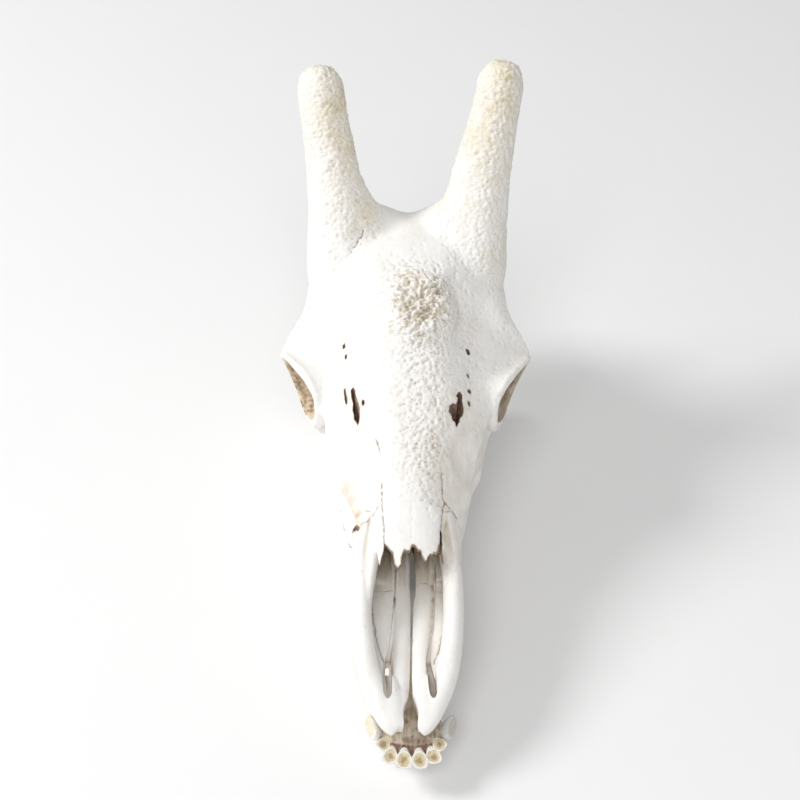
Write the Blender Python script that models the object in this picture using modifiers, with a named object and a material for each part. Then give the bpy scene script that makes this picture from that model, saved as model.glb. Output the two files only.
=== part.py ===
"""Skull of an adult bull giraffe with its lower jaw, lying on the jaw as it rests on a table.

Sizes are in millimetres. A place is (x, s, z): x to the animal's left, s the station
along the head from the tip of the upper jaw backwards. For the lower jaw z is the height
above the table; the upper skull is built level, with z above its palate, then tipped.
"""

import math
import random

import bmesh
import bpy
from mathutils import Matrix, Vector

MM = 0.001

# How the upper skull sits on the jaw.
NOSE_DOWN = math.radians(6.7)    # slope of the palate when the jaw rests on a table
PALATE_LIFT = 50.0               # height of the palate at station 0

# Teeth.
TOOTH_ROW_START = 238.0          # front of the first upper cheek tooth
CROWN_DROP = 17.0                # upper cheek tooth from the palate to the chewing surface
BITE_GAP = 0.8                   # between upper and lower chewing surfaces
TOOTH_GAP = 0.6                  # between neighbouring teeth in a row

# Cutting teeth from the root to the worn end: (share of the length, width, thickness).
CROWN_PROFILE = ((0.0, 0.45, 0.7), (0.45, 0.68, 0.85), (0.7, 1.0, 1.0), (0.92, 0.95, 0.8),
                 (1.0, 0.6, 0.4))
CHEW_HOLLOW = 2.0                # depth of the worn hollow in a chewing surface
WAIST = 0.22                     # share of a cheek tooth's width lost between its lobes
LOWER_ROOT = 26.0                # lower cheek tooth, from the chewing surface into the jaw
UPPER_LENGTHS = (22, 23, 24, 27, 30, 29)
UPPER_WIDTHS = (20, 23, 25, 27, 29, 27)
LOWER_LENGTHS = (18, 21, 24, 27, 29, 37)
LOWER_WIDTHS = (12, 15, 17, 19, 20, 18)
ROW_FRONT_X = 46.0               # cheek tooth row: distance from the midline at its front
ROW_BOW = 15.0                   # how far the row bows outwards
ROW_WIDEST = 360.0               # station where it is widest
LOWER_ROW_INSET = 5.0            # lower row inside the upper row

# Slots through the floor of the nose: (station, distance from the midline, half width).
LEFT_SLOT = ((40, 22.5, 1.2), (46, 22.5, 3.4), (60, 23, 3.4), (78, 23, 2.6), (100, 22.8, 1.4),
             (150, 23.4, 1.1), (196, 23, 1.0))
RIGHT_SLOT = ((40, 22, 1.2), (46, 22, 3.4), (60, 21.8, 3.4), (78, 20.4, 2.8), (100, 16, 1.5),
              (150, 12.2, 1.2), (196, 9.7, 1.0))
SLOT_OPEN_TO = 78                # behind this station a slot is only a groove

# Lower jaw.
REST_CUT = 0.5                   # height of the flats that the jaw rests on
JOINT_STATION = 508.0
JAW_ROOM = 2.5                   # free space round the rising part of the jaw
JOINT_GAP = 1.5                  # between the jaw's knuckle and its socket
JAW_SWING = 4.0                  # sideways shift of the chin

# Horns. The left one (1) is a little longer than the right one (-1).
HORN_BASE_HEIGHT = 152.0
HORN_LONGER = {1: 2.0, -1: -5.5}
SADDLE_SIDE = 2.5                # the low point between the horns lies to the animal's left
HORN_TIP_RADIUS = 25.2
HORN_COLLAR = 46.0               # radius round the horn's axis at which it parts from the skull

# Fineness of the melted bone surface and of the finished solids.
PARTING_GAP = 0.3
VOXEL = 2.5
SKULL_TRIANGLES = 6500
JAW_TRIANGLES = 720

BONE = (0.86, 0.85, 0.81)
HORN_BONE = (0.83, 0.80, 0.72)
BONE_ROUGHNESS = 0.62


def place(x, s, z):
    """A point in metres, with the station running along Y."""
    return Vector((x, s, z)) * MM


def clear_scene():
    for old in list(bpy.data.objects):
        bpy.data.objects.remove(old)


def add_object(name, mesh):
    made = bpy.data.objects.new(name, mesh)
    bpy.context.scene.collection.objects.link(made)
    return made


def mesh_of(work, name):
    mesh = bpy.data.meshes.new(name)
    work.to_mesh(mesh)
    work.free()
    return mesh


def ring(centre, side, rise, half_side, half_rise, taper, squareness, count):
    """One cross-section: a superellipse whose upper half is narrowed by taper."""
    points = []
    for i in range(count):
        angle = 2 * math.pi * i / count
        across = math.copysign(abs(math.cos(angle)) ** (2 / squareness), math.cos(angle))
        up = math.copysign(abs(math.sin(angle)) ** (2 / squareness), math.sin(angle))
        width = half_side * across * (1 - taper * max(up, 0.0))
        points.append(centre + side * width * MM + rise * half_rise * up * MM)
    return points


def skin(name, rings, closed=False):
    """A solid whose surface runs through the rings, capped at both ends or closed in a loop."""
    work = bmesh.new()
    rows = [[work.verts.new(p) for p in points] for points in rings]
    count = len(rows[0])
    pairs = list(zip(rows, rows[1:]))
    if closed:
        pairs.append((rows[-1], rows[0]))
    for one, two in pairs:
        for i in range(count):
            j = (i + 1) % count
            work.faces.new((one[i], one[j], two[j], two[i]))
    if not closed:
        work.faces.new(rows[0])
        work.faces.new(rows[-1])
    bmesh.ops.recalc_face_normals(work, faces=work.faces)
    return add_object(name, mesh_of(work, name))


def eased(stations, steps, closed=False):
    """Stations with more between them, on a smooth curve through every column."""
    count = len(stations)
    made = []
    for i in range(count if closed else count - 1):
        if closed:
            a, b, c, d = (stations[(i + k) % count] for k in (-1, 0, 1, 2))
        else:
            a, b, c, d = (stations[min(max(i + k, 0), count - 1)] for k in (-1, 0, 1, 2))
        for step in range(steps):
            t = step / steps
            row = []
            for p, q, r, u in zip(a, b, c, d):
                bend = 2 * p - 5 * q + 4 * r - u
                twist = -p + 3 * q - 3 * r + u
                row.append(0.5 * (2 * q + (r - p) * t + bend * t * t + twist * t ** 3))
            made.append(tuple(row))
    if not closed:
        made.append(tuple(stations[-1]))
    return made


def block(name, stations, squareness=2.4, steps=3):
    """A body along the head. Stations: (s, bottom, top, half width, taper)."""
    rings = []
    for s, bottom, top, half, taper in eased(stations, steps):
        centre = place(0, s, (bottom + top) / 2)
        rings.append(ring(centre, Vector((1, 0, 0)), Vector((0, 0, 1)), half,
                          (top - bottom) / 2, taper, squareness, 40))
    return skin(name, rings)


def limb(name, stations, side=(1, 0, 0), squareness=2.0, steps=4, count=20, closed=False):
    """A bar along a bent path. Stations: (x, s, z, half size along side, half size across it)."""
    rows = eased(stations, steps, closed)
    centres = [place(*row[:3]) for row in rows]
    last = len(rows) - 1
    rings = []
    for i, row in enumerate(rows):
        if closed:
            before, after = centres[i - 1], centres[(i + 1) % len(rows)]
        else:
            before, after = centres[max(i - 1, 0)], centres[min(i + 1, last)]
        along = (after - before).normalized()
        across = Vector(side)
        across = (across - along * across.dot(along)).normalized()
        rise = along.cross(across)
        rings.append(ring(centres[i], across, rise, row[3], row[4], 0.0, squareness, count))
    return skin(name, rings, closed)


def ball(name, centre, radii, turn=(0.0, 0.0, 0.0), segments=24):
    """An ellipsoid. turn holds degrees about x, y and z."""
    work = bmesh.new()
    bmesh.ops.create_uvsphere(work, u_segments=segments, v_segments=segments // 2, radius=1.0)
    turned = Matrix.Identity(4)
    for angle, axis in zip(turn, "XYZ"):
        turned = Matrix.Rotation(math.radians(angle), 4, axis) @ turned
    scaled = Matrix.Diagonal((*[r * MM for r in radii], 1.0))
    work.transform(Matrix.Translation(place(*centre)) @ turned @ scaled)
    return add_object(name, mesh_of(work, name))


def prism(name, outline, x_from, x_to):
    """A side-view outline of (s, z) corners, run across the head from x_from to x_to."""
    return skin(name, [[place(x, s, z) for s, z in outline] for x in (x_from, x_to)])


def plan_prism(name, outline, z_from, z_to):
    """A top-view outline of (x, s) corners, run up the head from z_from to z_to."""
    return skin(name, [[place(x, s, z) for x, s in outline] for z in (z_from, z_to)])


def mirrored(piece):
    """The same piece on the other side of the head."""
    mesh = piece.data.copy()
    mesh.transform(Matrix.Scale(-1, 4, (1, 0, 0)))
    mesh.flip_normals()
    return add_object(piece.name + "_other_side", mesh)


def both(pieces):
    return pieces + [mirrored(piece) for piece in pieces]


def settle(piece):
    """Applies the piece's modifiers to its mesh."""
    bpy.context.view_layer.update()
    graph = bpy.context.evaluated_depsgraph_get()
    mesh = bpy.data.meshes.new_from_object(piece.evaluated_get(graph))
    piece.modifiers.clear()
    piece.data = mesh


def melt(name, pieces, smoothing):
    """Pieces that overlap become one bone: joined, melted by voxels and softened at the creases."""
    work = bmesh.new()
    for piece in pieces:
        work.from_mesh(piece.data)
        bpy.data.objects.remove(piece)
    made = add_object(name, mesh_of(work, name))
    remesh = made.modifiers.new("melt", "REMESH")
    remesh.mode = "VOXEL"
    remesh.voxel_size = VOXEL * MM
    soften = made.modifiers.new("soften", "SMOOTH")
    soften.factor = 0.5
    soften.iterations = smoothing
    settle(made)
    return made


def combine(piece, others, operation):
    """Boolean of the piece with each of the others in turn, which are then removed."""
    for other in others:
        change = piece.modifiers.new(operation.lower(), "BOOLEAN")
        change.operation = operation
        change.solver = "MANIFOLD"
        change.object = other
        settle(piece)
        bpy.data.objects.remove(other)


def thin_out(piece, triangles):
    """Reduces the mesh to about that many triangles."""
    piece.data.calc_loop_triangles()
    thin = piece.modifiers.new("thin", "DECIMATE")
    thin.ratio = triangles / len(piece.data.loop_triangles)
    thin.use_collapse_triangulate = True
    settle(piece)


def islands(piece):
    """The closed surfaces of a piece as objects of their own, largest first. The piece goes."""
    work = bmesh.new()
    work.from_mesh(piece.data)
    work.verts.ensure_lookup_table()
    label = {}
    groups = []
    for start in work.verts:
        if start.index in label:
            continue
        label[start.index] = len(groups)
        group = [start]
        for vertex in group:
            for edge in vertex.link_edges:
                other = edge.other_vert(vertex)
                if other.index not in label:
                    label[other.index] = len(groups)
                    group.append(other)
        groups.append(group)
    order = sorted(range(len(groups)), key=lambda g: -len(groups[g]))
    made = []
    for g in order:
        if len(groups[g]) < 12:
            continue
        part = work.copy()
        part.verts.ensure_lookup_table()
        drop = [v for v in part.verts if label[v.index] != g]
        bmesh.ops.delete(part, geom=drop, context="VERTS")
        made.append(add_object(piece.name, mesh_of(part, piece.name)))
    work.free()
    bpy.data.objects.remove(piece)
    return made


def part_along(piece, region):
    """Cuts the piece along the skin of a region: returns what lies inside and what lies outside."""
    inside = add_object(piece.name, piece.data.copy())
    grown = add_object("grown", region.data.copy())
    grow = grown.modifiers.new("grow", "DISPLACE")
    grow.strength = PARTING_GAP * MM
    grow.mid_level = 0.0
    settle(grown)
    combine(inside, [region], "INTERSECT")
    combine(piece, [grown], "DIFFERENCE")
    return inside, piece


def face_block():
    """Upper jaw bones and the roof of the nose, back to the orbits."""
    return block("face_block", [
        (176, 0, 86, 56, 0.42),
        (205, 0, 95, 57, 0.42),
        (232, 0, 106, 61, 0.42),
        (258, 0, 117, 70, 0.42),
        (285, 0, 128, 76, 0.40),
        (315, 0, 141, 83, 0.32),
        (345, 0, 153, 87, 0.26),
        (385, 4, 160, 86, 0.26),
        (410, 16, 160, 74, 0.25),
    ], squareness=2.6)


def nasal_roof():
    """The nasal bones, which overhang the nose opening."""
    return block("nasal_roof", [
        (138, 65, 77, 27, 0.2),
        (160, 68, 83, 31, 0.25),
        (185, 70, 90, 35, 0.3),
        (215, 74, 99, 36, 0.35),
    ], squareness=2.6)


def dome_block():
    """Brain case and the thick sinus bone of the forehead between the horns."""
    return block("dome_block", [
        (340, 90, 154, 54, 0.25),
        (375, 80, 171, 58, 0.20),
        (412, 64, 186, 56, 0.16),
        (450, 66, 193, 56, 0.10),
        (490, 70, 195, 58, 0.06),
        (525, 72, 191, 60, 0.06),
        (550, 68, 179, 60, 0.06),
        (575, 60, 157, 58, 0.08),
        (600, 52, 133, 56, 0.12),
        (622, 50, 110, 48, 0.20),
        (634, 52, 96, 36, 0.25),
    ], squareness=2.6)


def forehead():
    """The forehead, which spreads like a tent to the rims of the orbits and the horn bases.

    Each station gives half of the upper surface as (x, z) from the midline outwards.
    """
    halves = [
        (292, ((0, 131), (28, 127), (46, 116), (58, 104), (68, 92), (76, 78))),
        (330, ((0, 148), (30, 143), (50, 130), (64, 117), (78, 105), (88, 90))),
        (356, ((0, 160), (32, 154), (52, 139), (70, 122), (88, 111), (101, 100))),
        (380, ((0, 171), (33, 165), (52, 148), (72, 129), (96, 118), (116, 107))),
        (402, ((0, 181), (35, 174), (53, 155), (74, 135), (100, 125), (130, 110))),
        (413, ((0, 186), (36, 178), (54, 158), (76, 138), (102, 128), (136, 107))),
        (428, ((0, 190), (38, 183), (56, 163), (77, 143), (104, 133), (128, 117))),
        (448, ((0, 193), (42, 187), (60, 172), (78, 157), (98, 146), (114, 130))),
        (468, ((0, 195), (44, 190), (62, 179), (80, 166), (97, 153), (109, 138))),
        (500, ((0, 195), (44, 191), (62, 183), (80, 173), (94, 160), (105, 146))),
    ]
    rings = []
    flat = [(s,) + sum(half, ()) for s, half in halves]
    for row in eased(flat, 4):
        half = [(row[i], row[i + 1]) for i in range(1, len(row), 2)]
        edge_x, edge_z = half[-1]
        under = [(edge_x * 0.97, edge_z - 10), (edge_x * 0.6, edge_z - 24)]
        top = [(-x, z) for x, z in reversed(half[1:])] + half
        outline = top + under + [(-x, z) for x, z in reversed(under)]
        rings.append([place(x, row[0], z) for x, z in outline])
    return skin("forehead", rings)


def saddle():
    """The hanging bridge of bone between the horn bases."""
    half = [
        (82, 562, 219, 29, 29),
        (71, 545, 194, 35, 33),
        (56, 534, 174, 38, 35),
        (33, 536, 157, 43, 37),
        (17, 535, 147, 45, 37),
        (0, 533, 142, 46, 38),
    ]
    path = half + [(-x, s, z, a, b) for x, s, z, a, b in reversed(half[:-1])]
    return limb("saddle", [(x + SADDLE_SIDE, *rest) for x, *rest in path], side=(0, 1, 0))


def horn(way):
    """One paired horn, a blunt cone of bone that leans back and a little outwards."""
    tip = HORN_TIP_RADIUS
    stations = [
        (62, 462, 104, 30, 32),
        (66, 484, 128, 37.5, 39),
        (70, 506, 152, 39.5, 40),
        (75.5, 538, 190, 34, 36),
        (79.5, 556, 212, 31, 32),
        (83.5, 573, 232, 29, 29),
        (91, 601, 267, tip + 0.4, tip + 0.4),
        (96, 622, 292, tip, tip),
        (98, 630, 302, tip - 0.8, tip - 0.8),
        (99.6, 638, 311.5, tip - 5, tip - 5),
        (100.4, 643, 317, tip - 11, tip - 11),
        (100.8, 645, 319.5, 5, 5),
    ]
    base = HORN_BASE_HEIGHT
    longer = HORN_LONGER[way] / (stations[-1][2] - base)
    grown = []
    for x, s, z, a, b in stations:
        more = longer * max(z - base, 0)
        grown.append((way * (x + more * 0.22), s + more * 0.8, z + more, a, b))
    return limb("horn", grown, steps=3)


def orbit_rim():
    """The ring of bone round the eye socket."""
    return limb("orbit_rim", [
        (131, 407, 106, 6, 5.5),
        (124, 386, 115, 7, 5.5),
        (109, 358, 113, 7, 6),
        (98, 341, 96, 8, 6),
        (95, 341, 74, 8, 6),
        (93, 353, 56, 7, 6),
        (103, 379, 49, 7, 7),
        (113, 403, 61, 7, 6),
        (124, 412, 84, 6, 6),
    ], side=(1, 0, 0), closed=True)


def orbit_shell():
    """The thin cup of bone round the eye socket."""
    return ball("orbit_shell", (86, 385, 80), (41, 41, 38), turn=(0, 0, -20))


def cheek_bar():
    """Cheek bone below the orbit, drawn out into the arch that reaches the ear region."""
    return limb("cheek_bar", [
        (60, 256, 32, 6, 12),
        (71, 290, 36, 8, 14),
        (78, 325, 42, 8, 14),
        (86, 356, 46, 8, 12),
        (102, 385, 46, 7, 10),
        (112, 412, 51, 6, 9),
        (113, 445, 61, 5, 8),
        (104, 480, 73, 5, 8),
        (92, 508, 84, 6, 9),
        (80, 528, 92, 8, 11),
    ])


def jaw_socket():
    """Root of the cheek arch, which roofs the jaw joint."""
    return limb("jaw_socket", [
        (40, 552, 104, 32, 30),
        (64, 540, 96, 24, 18),
        (88, 526, 92, 16, 11),
    ], side=(0, 1, 0))


def tooth_ridge():
    """The ridge of the upper jaw that holds the cheek teeth."""
    return limb("tooth_ridge", [
        (42, 214, 9, 8, 8),
        (48, 236, 9, 13, 10),
        (54, 280, 12, 16, 14),
        (60, 330, 15, 18, 17),
        (62, 380, 16, 17, 18),
        (57, 404, 20, 11, 13),
    ], squareness=2.6)


def nose_wall():
    """The thin side wall between the palate and the upper bar of the snout."""
    return limb("nose_wall", [
        (12, 3, 4, 8, 3.5),
        (27, 26, 8, 8, 7),
        (38, 50, 11, 7, 9),
        (45, 78, 15, 6, 13),
        (49, 112, 20, 5, 18),
        (50, 150, 26, 5, 24),
        (50, 185, 32, 6, 30),
        (49, 215, 38, 8, 34),
    ])


def nose_bar():
    """The rounded upper bar of the snout that frames the nose opening."""
    return limb("nose_bar", [
        (11, 2, 6, 7.5, 4.5),
        (18, 8, 9, 9.5, 6.5),
        (24, 20, 13, 11.5, 8.5),
        (30, 33, 17, 12, 9.5),
        (35.5, 48, 21, 12, 10.5),
        (41, 67, 27, 11.5, 11.5),
        (44, 87, 32, 11, 12),
        (46, 112, 37, 10.5, 12.5),
        (46.5, 140, 43, 10.5, 13.5),
        (45, 168, 50, 10.5, 14.5),
        (41, 194, 60, 11, 15),
        (35, 218, 72, 12, 14),
    ])


def palate_plate():
    """Floor of the nose and roof of the mouth."""
    return block("palate_plate", [
        (3, 0, 8, 16, 0.0),
        (28, 0, 9, 30, 0.0),
        (60, 0, 9, 42, 0.0),
        (120, 0, 9, 50, 0.0),
        (200, 0, 10, 50, 0.0),
        (300, 0, 10, 48, 0.0),
        (388, 0, 12, 46, 0.0),
    ], squareness=4.0)


def palate_strips():
    """The raised strips of the snout bone on each side of the midline gap."""
    left = limb("strip_left", [
        (11, 6, 6, 7, 4),
        (13, 50, 8, 8, 5),
        (15, 110, 9, 8, 6),
        (17, 160, 9, 8, 6),
        (19, 205, 10, 9, 6),
    ])
    right = limb("strip_right", [
        (-9, 6, 6, 7, 4),
        (-7, 50, 8, 8, 5),
        (-5, 110, 9, 8, 6),
        (-4, 160, 9, 8, 6),
        (-4, 205, 10, 9, 6),
    ])
    return [left, right]


def wing_plate():
    """Plate of bone behind the last tooth that carries the roof of the throat."""
    return limb("wing_plate", [
        (41, 394, 34, 6, 28),
        (35, 425, 38, 4.5, 28),
        (30, 460, 42, 4.5, 20),
        (26, 495, 48, 5, 12),
    ])


def throat_beam():
    """Thick beam along the underside of the brain case."""
    return limb("throat_beam", [
        (0, 380, 50, 18, 16),
        (0, 430, 62, 30, 24),
        (0, 480, 64, 34, 24),
        (0, 530, 60, 33, 20),
        (0, 590, 55, 32, 16),
        (0, 632, 54, 26, 14),
    ])


def neck_joint():
    """Occipital condyle, ear capsule and the spur beside it, on one side."""
    condyle = ball("condyle", (25, 640, 64), (16, 20, 24), turn=(-16, 0, -20))
    capsule = ball("ear_capsule", (35, 568, 40), (13, 19, 17))
    spur = limb("neck_spur", [
        (50, 602, 92, 11, 16),
        (54, 606, 56, 9, 12),
        (51, 606, 22, 6, 8),
        (48, 604, 8, 3.5, 4),
    ])
    ear_pipe = limb("ear_pipe", [
        (50, 566, 74, 12, 12),
        (69, 568, 84, 9, 9),
    ], side=(0, 1, 0))
    return [condyle, capsule, spur, ear_pipe]


def neck_crest():
    """The ridge across the back of the head where the neck muscles hold."""
    half = [
        (57, 604, 84, 12, 9),
        (46, 614, 98, 9, 9),
        (24, 622, 106, 8, 9),
        (0, 624, 107, 8, 9),
    ]
    path = half + [(-x, s, z, a, b) for x, s, z, a, b in reversed(half[:-1])]
    return limb("neck_crest", path, side=(0, 1, 0))


def nose_hollow():
    """The nose cavity, open in front and narrowing towards the orbits."""
    return block("nose_hollow", [
        (120, 9, 64, 40, 0.3),
        (160, 9, 74, 43, 0.42),
        (200, 10, 84, 44, 0.46),
        (250, 14, 98, 44, 0.46),
        (295, 28, 106, 30, 0.4),
        (330, 46, 104, 10, 0.3),
    ], squareness=2.6)


def socket_hollow():
    """The eye socket, a deep cup that opens sideways and a little forwards."""
    cup = ball("socket_cup", (113, 376, 82), (38, 33, 30), turn=(0, 0, -20))
    depth = ball("socket_depth", (94, 386, 82), (32, 28, 24), turn=(0, 0, -20))
    return [cup, depth]


def temple_hollow():
    """The hollow behind the orbit for the chewing muscle and the jaw's spur."""
    return [ball("temple_hollow", (99, 486, 88), (42, 66, 42)),
            ball("joint_space", (92, 520, 52), (38, 40, 28))]


def throat_hollow():
    """The passage between nose and throat, open behind the palate."""
    return ball("throat_hollow", (0, 425, 18), (28, 48, 26), turn=(10, 0, 0))


def spinal_hole():
    return ball("spinal_hole", (0, 650, 84), (15, 40, 13), turn=(8, 0, 0))


def boss():
    """The rough knob of the third horn on the forehead."""
    return ball("boss", (9, 414, 172), (43, 47, 29), turn=(12, 0, 0))


def nasal_edge():
    """Space in front of the ragged front edge of the nasal bones."""
    return plan_prism("nasal_edge", [
        (-33, 110), (35, 110), (34, 176), (31, 178), (27, 164), (24, 170), (18.5, 157),
        (14, 163), (9, 170), (4.2, 172), (-2, 168), (-6, 160), (-10.5, 149), (-15, 162),
        (-22, 182), (-28, 184), (-32, 178),
    ], 58, 110)


def snout_slits():
    """Slots through the palate: the midline gap, the notch at the tip and the two side slots."""
    midline = plan_prism("midline_gap", [
        (-8, -20), (11, -20), (10.5, 0), (9.5, 14), (7.5, 26), (4.6, 38), (4.6, 60), (6.8, 145),
        (9.5, 172),
        (10, 200), (8.5, 222), (6.5, 222), (4.5, 200), (4.2, 172), (5, 145), (2.8, 60), (1.4, 38),
        (-3, 26), (-6, 14), (-7.5, 0),
    ], -20, 40)
    slots = []
    for way, line in ((1, LEFT_SLOT), (-1, RIGHT_SLOT)):
        outer = [(way * (x + half), s) for s, x, half in line]
        inner = [(way * (x - half), s) for s, x, half in reversed(line)]
        slots.append(plan_prism("slot_groove", outer + inner, 5, 40))
        front = [station for station in line if station[0] <= SLOT_OPEN_TO]
        outer = [(way * (x + half), s) for s, x, half in front]
        inner = [(way * (x - half), s) for s, x, half in reversed(front)]
        slots.append(plan_prism("slot_opening", outer + inner, -20, 40))
    return [midline] + slots


def tear_slit(way):
    """The slit in the face bones in front of the orbit."""
    return ball("tear_slit", (way * 55, 320, 124), (3.2, 22, 22),
                turn=(0, way * 20, way * -13), segments=16)


def nose_region():
    """Side view of the two premaxillae."""
    return prism("nose_region", [
        (-60, -60), (150, -60), (158, 0), (184, 30), (208, 52), (216, 62), (190, 61), (-60, 58),
    ], -100, 100)


def snout_region():
    """Side view of the bones in front of the orbits."""
    return prism("snout_region", [
        (-60, -60), (420, -60), (406, 0), (374, 64), (344, 130), (330, 230), (-60, 230),
    ], -160, 160)


def horn_region(way):
    """A collar round one horn."""
    r = HORN_COLLAR
    return limb("horn_region", [
        (way * 72, 496, 150, r, r),
        (way * 84, 575, 234, r, r),
        (way * 104, 670, 348, r, r),
    ], count=32)


def boss_region():
    return ball("boss_region", (9, 414, 192), (47, 52, 26), turn=(12, 0, 0), segments=28)


def build_skull():
    """The whole upper skull as one bone, before it is parted."""
    base = melt("skull_base", [face_block(), dome_block(), forehead(), saddle(), boss()]
                + both([tooth_ridge(), orbit_shell()]), 6)
    hollows = both(socket_hollow() + temple_hollow()) + [nose_hollow(), throat_hollow()]
    combine(base, hollows, "DIFFERENCE")
    added = [base, nasal_roof(), palate_plate(), throat_beam(), neck_crest()] + palate_strips()
    added += [horn(1), horn(-1)]
    added += both([orbit_rim(), cheek_bar(), jaw_socket(), nose_wall(), nose_bar(),
                   wing_plate()] + neck_joint())
    skull = melt("skull", added, 4)
    combine(skull, [spinal_hole()], "DIFFERENCE")
    thin_out(skull, SKULL_TRIANGLES)
    combine(skull, snout_slits() + [nasal_edge(), tear_slit(1), tear_slit(-1)], "DIFFERENCE")
    return skull


def tip_skull(piece):
    """Lays the level-built upper skull on the jaw, nose down."""
    piece.data.transform(Matrix.Translation(place(0, 0, PALATE_LIFT))
                         @ Matrix.Rotation(NOSE_DOWN, 4, "X"))


def chin():
    """The spoon-shaped front of the lower jaw that holds the cutting teeth."""
    return block("chin", [
        (-9, 28, 38, 20, 0.0),
        (-2, 25, 40, 29, 0.0),
        (12, 22, 42, 34, 0.0),
        (30, 17, 42, 32, 0.0),
        (52, 9, 41, 25, 0.0),
        (80, 2, 39, 20, 0.0),
        (112, -1, 37, 18.5, 0.0),
        (142, 0, 35, 19, 0.0),
    ], squareness=2.6)


def jaw_body():
    """One half of the lower jaw from the chin to the angle."""
    return limb("jaw_body", [
        (13, 40, 24, 10, 15),
        (13, 80, 19, 9.5, 18),
        (14, 112, 17, 9.5, 18),
        (19, 146, 17.5, 9.5, 18),
        (30, 190, 20.5, 10, 20),
        (40, 236, 24, 11, 22),
        (47, 290, 27.5, 12, 26),
        (52, 340, 30.5, 12.5, 29),
        (56, 390, 31.5, 12, 32),
        (61, 430, 34, 9, 36),
        (67, 466, 42, 7, 40),
        (72, 498, 56, 6, 36),
        (74, 509, 64, 5, 27),
        (75, 516, 71, 3.5, 16),
    ], squareness=2.3)


def jaw_ramus(grow=0.0):
    """The upright plate behind the teeth, up to the neck of the joint."""
    return limb("jaw_ramus", [(x, s, z, a + grow, b + grow) for x, s, z, a, b in [
        (62, 452, 40, 7, 40),
        (66, 468, 78, 5.5, 37),
        (69, 482, 112, 5, 29),
        (71.5, 496, 142, 5, 19),
        (73, 505, 164, 7, 12),
        (73, 508, 177, 11, 8.5),
    ]])


def jaw_hook(grow=0.0):
    """The slender spur in front of the joint, which passes inside the cheek arch."""
    return limb("jaw_hook", [(x, s, z, a + grow, b + grow) for x, s, z, a, b in [
        (67, 468, 106, 5, 17),
        (67.5, 472, 142, 4.5, 13),
        (67.5, 478, 176, 4.2, 9.5),
        (67, 486, 201, 4, 7),
        (66.5, 492, 214, 3.2, 4),
        (66.4, 493, 217, 2, 2),
    ]])


def jaw_knuckle(grow=0.0):
    """The jaw joint's knuckle, lying across the head."""
    return ball("jaw_knuckle", (73, 508, 179), (18 + grow, 8.5 + grow, 8 + grow))


def build_jaw():
    """Both halves of the lower jaw as one bone, cut flat where it rests on the table."""
    pieces = [chin()] + both([jaw_body(), jaw_ramus(), jaw_hook(), jaw_knuckle()])
    jaw = melt("jaw", pieces, 5)
    thin_out(jaw, 2 * JAW_TRIANGLES)
    under = prism("table", [(-100, -60), (700, -60), (700, REST_CUT), (-100, REST_CUT)], -200, 200)
    combine(jaw, [under], "DIFFERENCE")
    return jaw


def molar(name, x, s, half_width, half_length, root, edge, lobes):
    """A cheek tooth: waisted between its lobes, with a worn hollow in the chewing surface."""
    down = 1 if edge > root else -1
    levels = [
        (root, 0.76),
        (root + (edge - root) * 0.75, 1.0),
        (edge, 0.94),
        (edge - down * CHEW_HOLLOW, 0.50),
    ]
    count = 12
    rings = []
    for z, size in levels:
        points = []
        for i in range(count):
            angle = 2 * math.pi * i / count
            across = math.copysign(abs(math.cos(angle)) ** 0.7, math.cos(angle))
            along = math.copysign(abs(math.sin(angle)) ** 0.7, math.sin(angle))
            waist = 1 - WAIST * abs(math.cos(math.pi * along * lobes / 2)) ** 3 * abs(across)
            if lobes == 1:
                waist = 1.0
            points.append(place(x + half_width * size * across * waist,
                                s + half_length * size * along, z))
        rings.append(points)
    return skin(name, rings)


def cheek_row(way, upper):
    """The six cheek teeth of one side."""
    lengths = UPPER_LENGTHS if upper else LOWER_LENGTHS
    widths = UPPER_WIDTHS if upper else LOWER_WIDTHS
    chance = random.Random(7 if way > 0 else 11)
    start = TOOTH_ROW_START
    teeth = []
    for i, (length, width) in enumerate(zip(lengths, widths)):
        s = start + length / 2
        start += length
        bow = ROW_BOW * (1 - ((s - ROW_WIDEST) / 130) ** 2)
        x = ROW_FRONT_X + bow - (0 if upper else LOWER_ROW_INSET) + chance.uniform(-0.6, 0.6)
        if upper:
            root, edge = 5.0, -CROWN_DROP
        else:
            root, edge = -CROWN_DROP - BITE_GAP - LOWER_ROOT, -CROWN_DROP - BITE_GAP
        lobes = 1 if i < 3 else (3 if i == 5 and not upper else 2)
        half = width / 2 * chance.uniform(0.97, 1.03)
        teeth.append(molar("tooth", way * x, s, half, (length - TOOTH_GAP) / 2, root, edge, lobes))
    return teeth


def cutting_tooth(way, base, tip, half_width, half_thick, tangent):
    """A spoon-shaped front tooth that leans forwards, worn blunt at its end."""
    stations = []
    for t, wide, thick in CROWN_PROFILE:
        x, s, z = (a + (b - a) * t for a, b in zip(base, tip))
        stations.append((way * x, s, z, half_width * wide, half_thick * thick))
    return limb("cutting_tooth", stations, side=(way * tangent[0], tangent[1], 0),
                squareness=2.3, steps=1, count=11)


def cutting_row(way):
    """Three incisors and the broad canine of one side."""
    return [
        cutting_tooth(way, (6.5, 3, 31), (8.2, -29, 42), 7.7, 5.8, (1.0, 0.05)),
        cutting_tooth(way, (17, 3, 31), (22.5, -23, 42), 7.0, 5.4, (0.9, 0.35)),
        cutting_tooth(way, (24, 8, 31), (30.0, -10, 42), 6.8, 5.2, (0.6, 0.8)),
        cutting_tooth(way, (28, 19, 30), (40.0, 13, 44), 13.5, 5.6, (0.22, 1.0)),
    ]


def swing_jaw(piece):
    """The jaw sits a little askew: its front lies to the animal's left."""
    for vertex in piece.data.vertices:
        vertex.co.x += JAW_SWING * MM * (1 - vertex.co.y / (JOINT_STATION * MM))


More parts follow.
